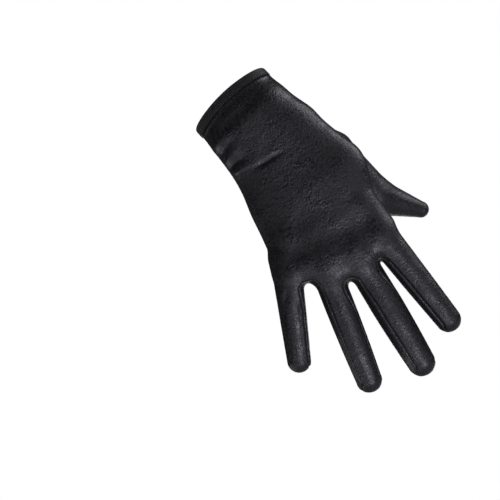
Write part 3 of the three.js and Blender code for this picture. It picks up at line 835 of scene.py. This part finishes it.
class Value:
    """A socket of a shader, with Math nodes for the operators."""

    def __init__(self, dresser: "Dresser", socket: bpy.types.NodeSocket) -> None:
        """Keeps the socket and the tree it is in."""
        self.dresser, self.socket = dresser, socket

    def _math(self, operation: str, *values: "Value | float") -> "Value":
        """One Math node."""
        inputs = dict(enumerate(values))
        return self.dresser.node("ShaderNodeMath", {"operation": operation}, inputs)

    def __add__(self, other: "Value | float") -> "Value":
        """The sum."""
        return self._math("ADD", self, other)

    __radd__ = __add__

    def __sub__(self, other: "Value | float") -> "Value":
        """The difference."""
        return self._math("SUBTRACT", self, other)

    def __rsub__(self, other: "Value | float") -> "Value":
        """The difference from a number."""
        return self._math("SUBTRACT", other, self)

    def __mul__(self, other: "Value | float") -> "Value":
        """The product."""
        return self._math("MULTIPLY", self, other)

    __rmul__ = __mul__

    def held(self) -> "Value":
        """The value held between 0 and 1."""
        return self.dresser.node("ShaderNodeClamp", {}, {0: self})


class Dresser:
    """Builds one material's nodes."""

    def __init__(self, name: str) -> None:
        """A new material with a Principled shader and an output."""
        self.material = bpy.data.materials.new(name)
        self.material.use_nodes = True
        self.tree = self.material.node_tree
        self.shader = next(node for node in self.tree.nodes if node.type == "BSDF_PRINCIPLED")

    def node(
        self,
        kind: str,
        settings: dict[str, object],
        inputs: dict[int | str, object],
        output: int | str = 0,
    ) -> Value:
        """One node.

        Args:
            kind: The node's type.
            settings: Its settings, set first.
            inputs: Values or links of its sockets, by number or name.
            output: The output that is read.

        Returns:
            The output's value.
        """
        node = self.tree.nodes.new(kind)
        for name, value in settings.items():
            setattr(node, name, value)
        for name, value in inputs.items():
            self.feed(node.inputs[name], value)
        return Value(self, node.outputs[output])

    def feed(self, socket: bpy.types.NodeSocket, value: object) -> None:
        """Links a value to a socket, or sets it there."""
        if isinstance(value, Value):
            self.tree.links.new(value.socket, socket)
        else:
            socket.default_value = value

    def place(self) -> Value:
        """Object coordinates."""
        return self.node("ShaderNodeTexCoord", {}, {}, "Object")

    def finish(self, values: dict[str, object]) -> bpy.types.Material:
        """Feeds the Principled shader's sockets, by name, and gives the material."""
        for name, value in values.items():
            self.feed(self.shader.inputs[name], value)
        return self.material

    def bump(self, strength: float, distance: float, height: Value) -> Value:
        """A normal from a height."""
        inputs = {"Strength": strength, "Distance": distance, "Height": height}
        return self.node("ShaderNodeBump", {}, inputs)

    def colours(self, share: Value, low: tuple[float, ...], high: tuple[float, ...]) -> Value:
        """A colour between two."""
        sockets = {0: share, 6: (*low, 1.0), 7: (*high, 1.0)}
        return self.node("ShaderNodeMix", {"data_type": "RGBA"}, sockets, 2)

    def noise(self, place: Value, scale: float, detail: float = 2.0, roughness: float = 0.5) -> Value:
        """Noise between 0 and 1 at places."""
        inputs = {"Vector": place, "Scale": scale, "Detail": detail, "Roughness": roughness}
        return self.node("ShaderNodeTexNoise", {}, inputs)


@dataclass(frozen=True)
class Satin:
    """Black stretch satin: a weave of short floats, a grain of threads that catch light, soft sheen."""

    name: str
    dark: tuple[float, float, float] = (0.0018, 0.0017, 0.002)
    light: tuple[float, float, float] = (0.009, 0.0084, 0.0108)
    roughness: float = 0.4
    grain_spread: float = 0.9
    mottle_spread: float = 0.5
    sheen: float = 0.04
    sheen_roughness: float = 0.5
    sheen_tint: tuple[float, float, float] = (0.82, 0.8, 0.96)
    specular: float = 0.42
    specular_tint: tuple[float, float, float] = (0.9, 0.88, 1.0)
    grain_height: float = 0.4
    mottle_height: float = 0.4
    float_length: float = 0.9
    float_width: float = 0.45
    grain_size: float = 1.5
    mottle_size: float = 11.0
    float_share: float = 0.25
    weave_contrast: float = 2.4
    mottle_contrast: float = 1.8
    light_share: float = 0.4

    def material(self) -> bpy.types.Material:
        """The material.

        Returns:
            Floats are noise stretched along the cloth on its UV map in millimetres, with a round grain.
            Mottling is wide soft noise in Object coordinates. Both set colour, roughness and bump.
        """
        dresser = Dresser(self.name)
        cloth = dresser.node("ShaderNodeUVMap", {"uv_map": "cloth"}, {})
        place = dresser.place()
        stretch = {"Vector": cloth, "Scale": (1 / self.float_width, 1 / self.float_length, 1.0)}
        floats = dresser.noise(dresser.node("ShaderNodeMapping", {}, stretch), 1.0, 1.0)
        grain = dresser.noise(place, 1 / (self.grain_size * METRE), 2.0, 0.6)
        mottle = dresser.noise(place, 1 / (self.mottle_size * METRE), 2.0, 0.5)
        weave = floats * self.float_share + grain * (1 - self.float_share) - 0.5
        patches = mottle - 0.5
        share = (weave * self.weave_contrast + patches * self.mottle_contrast + self.light_share).held()
        height = weave * self.grain_height + mottle * self.mottle_height
        return dresser.finish({
            "Base Color": dresser.colours(share, self.dark, self.light),
            "Roughness": self.roughness + weave * self.grain_spread - patches * self.mottle_spread,
            "Normal": dresser.bump(1.0, METRE, height),
            "Specular IOR Level": self.specular,
            "Specular Tint": (*self.specular_tint, 1.0),
            "Sheen Weight": self.sheen,
            "Sheen Roughness": self.sheen_roughness,
            "Sheen Tint": (*self.sheen_tint, 1.0),
        })


@dataclass(frozen=True)
class ThreadFinish:
    """Twisted black polyester thread."""

    name: str
    dark: tuple[float, float, float] = (0.01, 0.01, 0.011)
    light: tuple[float, float, float] = (0.03, 0.029, 0.033)
    roughness: float = 0.45
    twists: float = 2600.0
    ply_strength: float = 0.4
    ply_height: float = 0.00005

    def material(self) -> bpy.types.Material:
        """The material: noise across the thread for its plies, in colour and bump."""
        dresser = Dresser(self.name)
        plies = dresser.noise(dresser.place(), self.twists, 1.0)
        return dresser.finish({
            "Base Color": dresser.colours(plies, self.dark, self.light),
            "Roughness": self.roughness,
            "Normal": dresser.bump(self.ply_strength, self.ply_height, plies),
        })


@dataclass(frozen=True)
class FloorFinish:
    """A pale matt floor."""

    name: str
    low: tuple[float, float, float] = (0.8036, 0.8036, 0.8134)
    high: tuple[float, float, float] = (0.82, 0.82, 0.83)
    roughness: float = 0.8
    scale: float = 6.0

    def material(self) -> bpy.types.Material:
        """The material, with a trace of unevenness."""
        dresser = Dresser(self.name)
        colour = dresser.colours(dresser.noise(dresser.place(), self.scale), self.low, self.high)
        return dresser.finish({"Base Color": colour, "Roughness": self.roughness})


# The glove's pieces


@dataclass
class Piece:
    """What every piece of the glove has: the layout, the cloth, its names and its finish."""

    layout: Layout
    cloth: Cloth
    name: str
    node: str
    slot: str
    finish: Satin

    @property
    def hand(self) -> Hand:
        """The hand that it is on."""
        return self.layout.hand

    def patches(self) -> list[Patch]:
        """The grids of the cut."""
        raise NotImplementedError

    def relief(self, p: Array) -> Array:
        """The rise of its creases at points of the flat layout."""
        return 0 * p[..., 0]

    def build(self) -> bpy.types.Object:
        """Makes the piece and dresses it, in place of its node."""
        thing = mesh_object(self.name, *self.cloth.solid(self.patches(), self.relief))
        return dress(thing, self.finish.material(), self.slot, self.node)


def dress(thing: bpy.types.Object, material: bpy.types.Material, slot: str, *nodes: str) -> bpy.types.Object:
    """Gives a piece its material and its body, and hides the nodes that it stands for."""
    thing.data.materials.append(material)
    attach(thing, "root")
    if nodes:
        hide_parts(*nodes)
    LOG.info("%s: %d faces", thing.name, len(thing.data.polygons))
    return thing


def spread(*runs: tuple[float, float, int]) -> Array:
    """Values in even steps over runs that follow each other, given as start, end and count."""
    parts = [np.linspace(start, end, count + 1)[1:] for start, end, count in runs]
    return np.concatenate([[runs[0][0]], *parts])


@dataclass
class Panel(Piece):
    """The glove's back or its palm side, in one cut with that side of the fingers."""

    side: Side = Side.BACK
    creases: tuple[Fold, ...] = ()
    crease_fade: float = 4.0
    cuff_cells: int = 5
    palm_cells: int = 9
    column_cells: int = 6
    finger_cells: int = 8
    hole_rows: tuple[int, int] = (0, 0)
    hole_columns: tuple[int, int] = (0, 0)

    def rows(self) -> Array:
        """Rows down the wrist and palm."""
        cuff, body = self.layout.cuff_rows, self.layout.body_rows
        return spread((0, cuff, cuff * self.cuff_cells), (cuff, body, (body - cuff) * self.palm_cells))

    def columns(self) -> Array:
        """Columns across the hand."""
        return spread((0, self.layout.body_columns, self.layout.body_columns * self.column_cells))

    def hole(self) -> tuple[Array, Array]:
        """The rows and columns that lie in the thumb's hole, its edges too."""
        lines = ((self.rows(), self.hole_rows), (self.columns(), self.hole_columns))
        return tuple(at[(at >= first - SMALL) & (at <= last + SMALL)] for at, (first, last) in lines)

    def patches(self) -> list[Patch]:
        """The body's grid without the thumb's hole, and a grid for each finger."""
        layout, over = self.layout, self.side is Side.PALM
        rows, columns = self.rows(), self.columns()
        row, column = grid((rows[1:] + rows[:-1]) / 2, (columns[1:] + columns[:-1]) / 2)
        missing = (row > self.hole_rows[0]) & (row < self.hole_rows[1])
        missing &= (column > self.hole_columns[0]) & (column < self.hole_columns[1])
        body = Patch(layout.body_points(rows, columns, self.side), over, missing)
        found = [body]
        last = body.on_cloth()[-1]
        count = layout.finger_rows + layout.tip_rows
        across = spread((0, 1, layout.finger_columns * self.column_cells))
        k, share = grid(spread((0, count, count * self.finger_cells)), across)
        pair = layout.finger_columns + layout.fork_columns
        for i, finger in enumerate(self.hand.fingers):
            middle = int((i * pair + layout.finger_columns / 2) * self.column_cells)
            points = self.hand.cast(layout.finger_ray(finger, share, k, self.side))
            found.append(Patch(points, over, at=(last[middle, 0], last[middle, 1])))
        return found

    def relief(self, p: Array) -> Array:
        """The creases' rise, on this side only."""
        rise = sum((crease.rise_at(p) for crease in self.creases), 0 * p[..., 0])
        return rise * smooth_step(-self.side.value * p[..., 1] / self.crease_fade)


@dataclass
class Strip(Piece):
    """The strip between two fingers: from one tip down to the fork and up to the other tip."""

    fork: Fork | None = None
    cells: int = 8
    across_cells: int = 18
    end: float = 0.86

    def stations(self, up: Array) -> Ray:
        """The rays along the strip, at heights between its palm's seam, -1, and its back's seam, 1.

        Args:
            up: Heights, one for each line along the strip.

        Returns:
            Rays in a row for each height.
        """
        layout, fork = self.layout, self.fork
        count = layout.finger_rows + layout.tip_rows * self.end
        k = spread((0, count, int(count * self.cells)))[1:]
        parts = [self.leg(fork.left, 1.0, k[::-1], up)]
        high, around = grid(up, spread((0, 1, 2 * layout.fork_columns * self.cells)))
        parts.append(layout.fork_ray(fork, around, high))
        parts.append(self.leg(fork.right, 0.0, k, up))
        joined = ([getattr(part, name) for part in parts] for name in ("start", "heading"))
        return Ray(*(np.concatenate(values, axis=1) for values in joined))

    def leg(self, finger: Finger, share: float, k: Array, up: Array) -> Ray:
        """The rays of one leg, turned from the finger's back seam to its palm seam."""
        high, rows = grid(up, k)
        back, palm = (self.layout.finger_ray(finger, share, rows, side) for side in Side)
        return Ray(back.start, turned(back.heading, palm.heading, (1 - high) / 2))

    def patches(self) -> list[Patch]:
        """The strip's grid."""
        return [Patch(self.hand.cast(self.stations(spread((1, -1, self.across_cells)))))]


@dataclass
class Thumb(Piece):
    """The thumb, from its hole in the palm to its tip."""

    palm: Panel | None = None
    join_rows: int = 4
    shaft_rows: int = 8
    tip_rows: int = 3
    free_share: float = 0.34
    cells: int = 7

    def axis(self, t: Array) -> tuple[Array, Array, Array, Array]:
        """The thumb's axis: its places and headings ahead, to its side and to its palm.

        Args:
            t: Shares of the axis.

        Returns:
            A curve of the second degree from the shaft over the bend to the tip, and its frame.
        """
        joint, bend = np.array(self.hand.bones[1].start), np.array(self.hand.bones[1].end)
        tip, t = np.array(self.hand.bones[2].end), np.asarray(t, float)[..., None]
        start = mix(joint, bend, self.free_share)
        place = mix(mix(start, bend, t), mix(bend, tip, t), t)
        ahead = unit(mix(bend - start, tip - bend, t))
        side = unit(vector(1, 0, 0) - ahead * ahead[..., :1])
        return place, ahead, side, -np.cross(ahead, side)

    def ring_ray(self, turn: Array, t: Array, rise: Array) -> Ray:
        """Rays round the axis. rise: from level, 0, to ahead, 1."""
        place, ahead, side, palmar = self.axis(t)
        level = palmar * np.cos(turn)[..., None] + side * np.sin(turn)[..., None]
        return Ray(place, turned(level, ahead, rise))

    def loop(self) -> tuple[Array, Array]:
        """The hole's edge in the palm as a closed loop of points, each with its turn round the axis."""
        rows, columns = self.palm.hole()
        block = self.layout.body_points(rows, columns, Side.PALM)
        sides = [block[0], block[:, -1], block[-1, ::-1], block[::-1, 0]]
        shares = [(columns - columns[0]) / np.ptp(columns), (rows - rows[0]) / np.ptp(rows)]
        shares += [1 - shares[0][::-1], 1 - shares[1][::-1]]
        points = np.concatenate([side[:-1] for side in sides] + [sides[0][:1]])
        turns = np.concatenate([corner + share[:-1] for corner, share in enumerate(shares)] + [[4.0]])
        return points, (turns - 0.5) * np.pi / 2

    def patches(self) -> list[Patch]:
        """The thumb's grid: rows that leave the hole, rings round the axis, and rings round the tip."""
        points, turn = self.loop()
        join = spread((0, 1, self.join_rows * self.cells))[1:-1]
        first = self.hand.cast(self.ring_ray(turn, 0 * turn, 0 * turn))
        joining = self.hand.settled(mix(points, first, join[:, None, None]))
        along = spread((0, self.shaft_rows + self.tip_rows, (self.shaft_rows + self.tip_rows) * self.cells))
        row, around = grid(along, turn)
        rise = np.clip((row - self.shaft_rows) / self.tip_rows, 0, 1)
        rings = self.hand.cast(self.ring_ray(around, np.clip(row / self.shaft_rows, 0, 1), rise))
        return [Patch(np.concatenate([points[None], joining, rings]), turned_over=True)]


@dataclass
class Hem(Piece):
    """The hem: the cloth turned in and sewn, a soft flat ring with two sewn lines round it."""

    thickness: float = 2.2
    proud: float = 0.8
    sides: int = 360
    around: int = 56
    lines: tuple[float, float] = (0.26, 0.82)
    line_depth: float = 0.3
    line_wide: float = 0.07
    line_waver: float = 0.25
    stitch_pitch: float = 2.5
    mean_radius: float = 25.0
    flat_round: float = 0.5
    rim_round: float = 0.28
    fade: float = 1.6
    soft_height: float = 0.14
    soft_lengths: tuple[float, float] = (6.3, 15.1)

    def ring(self, share: Array, down: Array, outward_by: Array) -> Array:
        """Points of the hem.

        Args:
            share: Round the wrist: 0 to 1 over the back, 1 to 2 over the palm's side.
            down: Share of the hem's height down from the rim.
            outward_by: Distance out from the hand's surface.

        Returns:
            Points of the flat layout.
        """
        layout, hand = self.layout, self.hand
        back = layout.level_ray(np.minimum(share, 1), 0.0)
        rim = np.where(share <= 1, layout.rim_rise(back.heading), 0.0)
        z = rim - down * (layout.hem_height + self.cloth.seam_gap / 2)
        back = layout.level_ray(np.minimum(share, 1), z)
        palm = layout.level_ray(np.minimum(2 - share, 1), z, Side.PALM)
        over = (share <= 1)[..., None]
        pairs = ((back.start, palm.start), (back.heading, palm.heading))
        surface = hand.cast(Ray(*(np.where(over, *pair) for pair in pairs)))
        out = hand.outward(surface)
        out[..., 2] = 0
        return surface + unit(out) * outward_by[..., None]

    def build(self) -> bpy.types.Object:
        """Makes the ring: a rounded flat profile carried round the wrist."""
        turn = spread((0, 2 * np.pi, self.around))[:-1]
        share, angle = grid(spread((0, 2, self.sides))[:-1], turn)
        inward, down = (
            0.5 - 0.5 * np.sign(wave) * np.abs(wave) ** power
            for wave, power in ((np.cos(angle), self.flat_round), (np.sin(angle), self.rim_round))
        )
        length = share * np.pi * self.mean_radius
        sewn = sum(bump(down - line, self.line_wide) for line in self.lines)
        between = np.cos(2 * np.pi * length / self.stitch_pitch)
        short, long = (np.sin(length / part + start) for part, start in zip(self.soft_lengths, (0, 1)))
        soft = self.soft_height * short * long
        outer = smooth_step(1 - self.fade * inward)
        depth = self.line_depth * (1 - self.line_waver * (1 + between))
        rise = outer * (soft - depth * sewn)
        points = self.ring(share, down, self.proud - inward * self.thickness + rise)
        ids = np.arange(share.size).reshape(share.shape)
        faces = cells(np.pad(ids, ((0, 1), (0, 1)), mode="wrap")).reshape(-1, 4)
        height = down * self.layout.hem_height + inward * self.thickness
        places = np.stack([length, height], axis=-1).reshape(-1, 2)
        thing = mesh_object(self.name, self.hand.bent(points.reshape(-1, 3)), faces, places)
        return dress(thing, self.finish.material(), self.slot, self.node)


@dataclass
class Stitches:
    """Stitches of thread along lines: small arcs of thread that dip into the cloth at both ends."""

    hand: Hand
    name: str
    finish: ThreadFinish
    pitch: float
    length: float
    thick: float
    crossing: bool = False
    lift: float = 0.1
    arc: float = 0.2
    points_along: int = 7
    points_round: int = 6
    heading_step: float = 0.2

    def shape(self) -> tuple[Array, Ids]:
        """One stitch: a rounded thread along x that arches in z, closed at its ends."""
        u = spread((-1, 1, self.points_along - 1))
        turn = spread((0, 2 * np.pi, self.points_round))[:-1]
        place, angle = grid(u, turn)
        radius = self.thick / 2 * np.maximum(1 - place**4, 0) ** 0.5
        x = place * self.length / 2
        z = self.arc * (1 - place**2) - self.arc * 0.5 + radius * np.sin(angle)
        points = np.stack([x, radius * np.cos(angle), z], axis=-1)
        ids = np.arange(points[..., 0].size).reshape(points.shape[:2])
        ids[0], ids[-1] = ids[0, 0], ids[-1, 0]
        faces = cells(np.pad(ids, ((0, 0), (0, 1)), mode="wrap")).reshape(-1, 4)
        return points.reshape(-1, 3), faces[:, ::-1]

    def places(self, line: Array) -> tuple[Array, Array]:
        """Places at the pitch along a line, and its headings there."""
        length = np.pad(np.linalg.norm(np.diff(line, axis=0), axis=-1).cumsum(), (1, 0))
        at = np.arange(self.pitch / 2, length[-1] - self.pitch / 4, self.pitch)
        here, near = (
            np.stack([np.interp(s, length, column) for column in line.T], axis=-1)
            for s in (at, at + self.heading_step)
        )
        return here, unit(near - here)

    def build(self, lines: list[Array]) -> bpy.types.Object:
        """Makes the stitches of all lines as one piece.

        Args:
            lines: Points of each line on the flat layout.

        Returns:
            The piece.
        """
        found = [self.places(line) for line in lines]
        place, run = (np.concatenate([pair[i] for pair in found]) for i in (0, 1))
        out = self.hand.outward(place)
        across = unit(np.cross(out, run))
        along = across if self.crossing else run
        beside = -run if self.crossing else across
        shape, faces = self.shape()
        frames = np.stack([along, beside, out], axis=1)
        points = (place + out * self.lift)[:, None] + np.einsum("vi,nij->nvj", shape, frames)
        starts = np.arange(len(place)) * len(shape)
        every = (faces[None] + starts[:, None, None]).reshape(-1, 4)
        used, corners = np.unique(every, return_inverse=True)
        bent = self.hand.bent(points.reshape(-1, 3))[used]
        thing = mesh_object(self.name, bent, corners.reshape(every.shape))
        return dress(thing, self.finish.material(), "glove_satin")


# The studio


@dataclass(frozen=True)
class Lamp:
    """A soft square lamp that looks at a place."""

    name: str
    place: tuple[float, float, float]
    aim: tuple[float, float, float]
    size: float
    power: float

    def build(self) -> None:
        """Makes the lamp."""
        data = bpy.data.lights.new(self.name, "AREA")
        data.shape, data.size, data.energy = "SQUARE", self.size, self.power
        back = unit(np.array(self.place) - np.array(self.aim))
        put(data, unit(np.cross(UP, back)), back, np.array(self.place))


def put(data: bpy.types.ID, right: Array, back: Array, place: Array) -> bpy.types.Object:
    """Puts a lamp or camera into the scene, from its headings to the right and backwards and its place."""
    thing = bpy.data.objects.new(data.name, data)
    bpy.context.scene.collection.objects.link(thing)
    rows = np.eye(4)
    rows[:3, :4] = np.stack([right, np.cross(back, right), back, place], axis=1)
    thing.matrix_world = Matrix(rows.tolist())
    return thing


@dataclass(frozen=True)
class View:
    """The camera: from below the hand's level, rolled so that the fingers point down to the right."""

    distance: float = 1.2
    tilt: float = 10.0
    look_at: tuple[float, float] = (-0.0575, -0.0815)
    right: tuple[float, float] = (0.735, -0.678)
    frame_width: float = 0.33
    sensor: float = 36.0

    def build(self) -> None:
        """Makes the camera and gives it to the scene."""
        tilt = np.radians(self.tilt)
        ahead, up = vector(0, np.cos(tilt), np.sin(tilt)), vector(0, -np.sin(tilt), np.cos(tilt))
        aside = vector(1, 0, 0)
        centre = aside * self.look_at[0] + up * self.look_at[1]
        right = unit(aside * self.right[0] + up * self.right[1])
        data = bpy.data.cameras.new("camera")
        data.sensor_width, data.lens = self.sensor, self.sensor * self.distance / self.frame_width
        data.clip_start, data.clip_end = 0.05, 50.0
        bpy.context.scene.camera = put(data, right, -ahead, centre - ahead * self.distance)


@dataclass(frozen=True)
class Studio:
    """A pale floor below the fingers, a pale surround for the camera, and soft lamps."""

    floor_level: float = -0.8
    floor_half: float = 1.5
    surround: tuple[float, float, float] = (1.0, 1.0, 1.0)
    surround_light: float = 0.03
    surround_seen: float = 1.0
    lamps: tuple[Lamp, ...] = (
        Lamp("lamp_front", (0.0, -0.62, -0.74), (0.0, 0.0, -0.06), 0.4, 5.0),
        Lamp("lamp_front_right", (0.62, -0.6, -0.45), (0.0, 0.0, -0.08), 0.4, 0.6),
        Lamp("lamp_front_left", (-0.65, -0.55, -0.4), (0.0, 0.0, -0.08), 0.4, 1.2),
        Lamp("lamp_right", (0.85, 0.0, -0.05), (0.0, 0.0, -0.06), 0.5, 4.0),
        Lamp("lamp_left", (-0.85, 0.2, -0.25), (0.0, 0.0, -0.1), 0.5, 1.6),
        Lamp("lamp_above", (-0.1, -0.4, 0.9), (0.0, 0.0, -0.08), 0.8, 2.6),
        Lamp("lamp_back", (0.0, 0.95, -0.3), (0.0, 0.0, -0.1), 0.6, 2.5),
    )

    def build(self) -> None:
        """Makes the floor, the surround and the lamps."""
        half = self.floor_half
        x, y = grid(*np.array([[-half, half]] * 2))
        points = np.stack([x, y, 0 * x + self.floor_level], axis=-1).reshape(-1, 3) / METRE
        floor = mesh_object("floor", points, np.array([[0, 2, 3, 1]]))
        floor.data.materials.append(FloorFinish("floor_paint").material())
        for lamp in self.lamps:
            lamp.build()
        world = bpy.data.worlds.new("surround")
        bpy.context.scene.world = world
        world.use_nodes = True
        tree = world.node_tree
        background = next(node for node in tree.nodes if node.type == "BACKGROUND")
        seen = tree.nodes.new("ShaderNodeLightPath").outputs["Is Camera Ray"]
        strength = tree.nodes.new("ShaderNodeMix")
        for socket, value in ((2, self.surround_light), (3, self.surround_seen)):
            strength.inputs[socket].default_value = value
        tree.links.new(seen, strength.inputs[0])
        tree.links.new(strength.outputs[0], background.inputs["Strength"])
        background.inputs["Color"].default_value = (*self.surround, 1.0)
        bpy.context.scene.view_settings.view_transform = "Standard"


# The whole glove


# Low creases that the solids leave out: round the wrist, over the knuckles and on the little finger.
CREASES = (
    Fold(-10.0, 46.5, -12, 8.0, 1.3, -0.3),
    Fold(0.0, 18.0, 0, 44.0, 8.5, 1.3),
    Fold(-29.0, 22.0, 32, 4.0, 0.6, -0.3),
    Fold(-29.5, 28.0, 22, 4.5, 0.6, -0.35),
    Fold(-29.0, 34.0, 8, 5.0, 0.6, -0.35),
    Fold(-27.0, 41.0, -14, 5.5, 0.6, -0.3),
    Fold(-18.0, 93.0, -12, 34.0, 13.0, -1.0),
    Fold(-22.0, 127.0, -14, 38.0, 15.0, 2.3),
    Fold(-62.0, 121.0, 40, 5.0, 1.2, -0.45),
    Fold(-60.0, 133.0, 40, 5.0, 1.2, -0.4),
)


@dataclass
class Glove:
    """The whole glove, piece by piece."""

    hand: Hand = field(default_factory=Hand)
    hem_steps: int = 400
    seam_steps: int = 120
    tip_steps: int = 24

    def __post_init__(self) -> None:
        """Lays out the panels and names the pieces."""
        self.layout = Layout(self.hand)
        self.cloth = Cloth(self.hand)
        common, satin = (self.layout, self.cloth), ("glove_satin", Satin("glove_satin"))
        self.back = Panel(*common, "back_cloth", "back_panel", *satin, creases=CREASES)
        self.palm = Panel(
            *common, "palm_cloth", "palm_panel", *satin,
            side=Side.PALM, hole_rows=(12, 18), hole_columns=(17, 25),
        )
        names = [f"{fork.left.name}_{fork.right.name}" for fork in self.layout.forks]
        self.strips = [
            Strip(*common, f"strip_{name}", f"fourchette_{name}", *satin, fork=fork)
            for name, fork in zip(names, self.layout.forks)
        ]
        self.thumb = Thumb(*common, "thumb_cloth", "thumb", *satin, palm=self.palm)
        self.hem = Hem(*common, "hem_band", "cuff_hem", "hem_satin", Satin("hem_satin", roughness=0.6))

    def hem_lines(self) -> list[Array]:
        """The hem's two sewn lines."""
        share = spread((0, 2, self.hem_steps))
        return [self.hem.ring(share, 0 * share + line, 0 * share + self.hem.proud) for line in self.hem.lines]

    def seam_lines(self) -> list[Array]:
        """The seams between the panels, strips and thumb."""
        layout, hand = self.layout, self.hand
        count = layout.finger_rows + layout.tip_rows
        k, across = spread((0, count, self.seam_steps)), spread((0, 1, self.tip_steps))
        body = layout.body_points(self.back.rows()[1:], np.array([0.0, layout.body_columns]), Side.BACK)
        outer = [(hand.fingers[0], 0.0, body[:, 0]), (hand.fingers[-1], 1.0, body[:, -1])]
        lines = [
            np.concatenate([side, hand.cast(layout.finger_ray(finger, share, k))[1:]])
            for finger, share, side in outer
        ]
        lines += [hand.cast(layout.finger_ray(finger, across, count)) for finger in hand.fingers]
        for strip in self.strips:
            lines += list(hand.cast(strip.stations(np.array([1.0, -1.0]))))
        return [*lines, self.thumb.loop()[0]]

    def build(self) -> None:
        """Makes every piece."""
        self.hem.build()
        for piece in (self.back, self.palm, *self.strips, self.thumb):
            piece.build()
        thread = ThreadFinish("black_thread")
        hem = Stitches(self.hand, "hem_stitches", thread, self.hem.stitch_pitch, 1.8, 0.24, lift=-0.06)
        seams = Stitches(self.hand, "seam_stitches", thread, 2.2, 0.9, 0.16, crossing=True, lift=-0.42)
        hem.build(self.hem_lines())
        seams.build(self.seam_lines())


def main() -> None:
    """Builds the glove, the studio and the camera."""
    logging.basicConfig(level=logging.INFO, format="%(message)s")
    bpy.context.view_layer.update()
    Glove().build()
    Studio().build()
    View().build()


if __name__ == "__main__":
    main()
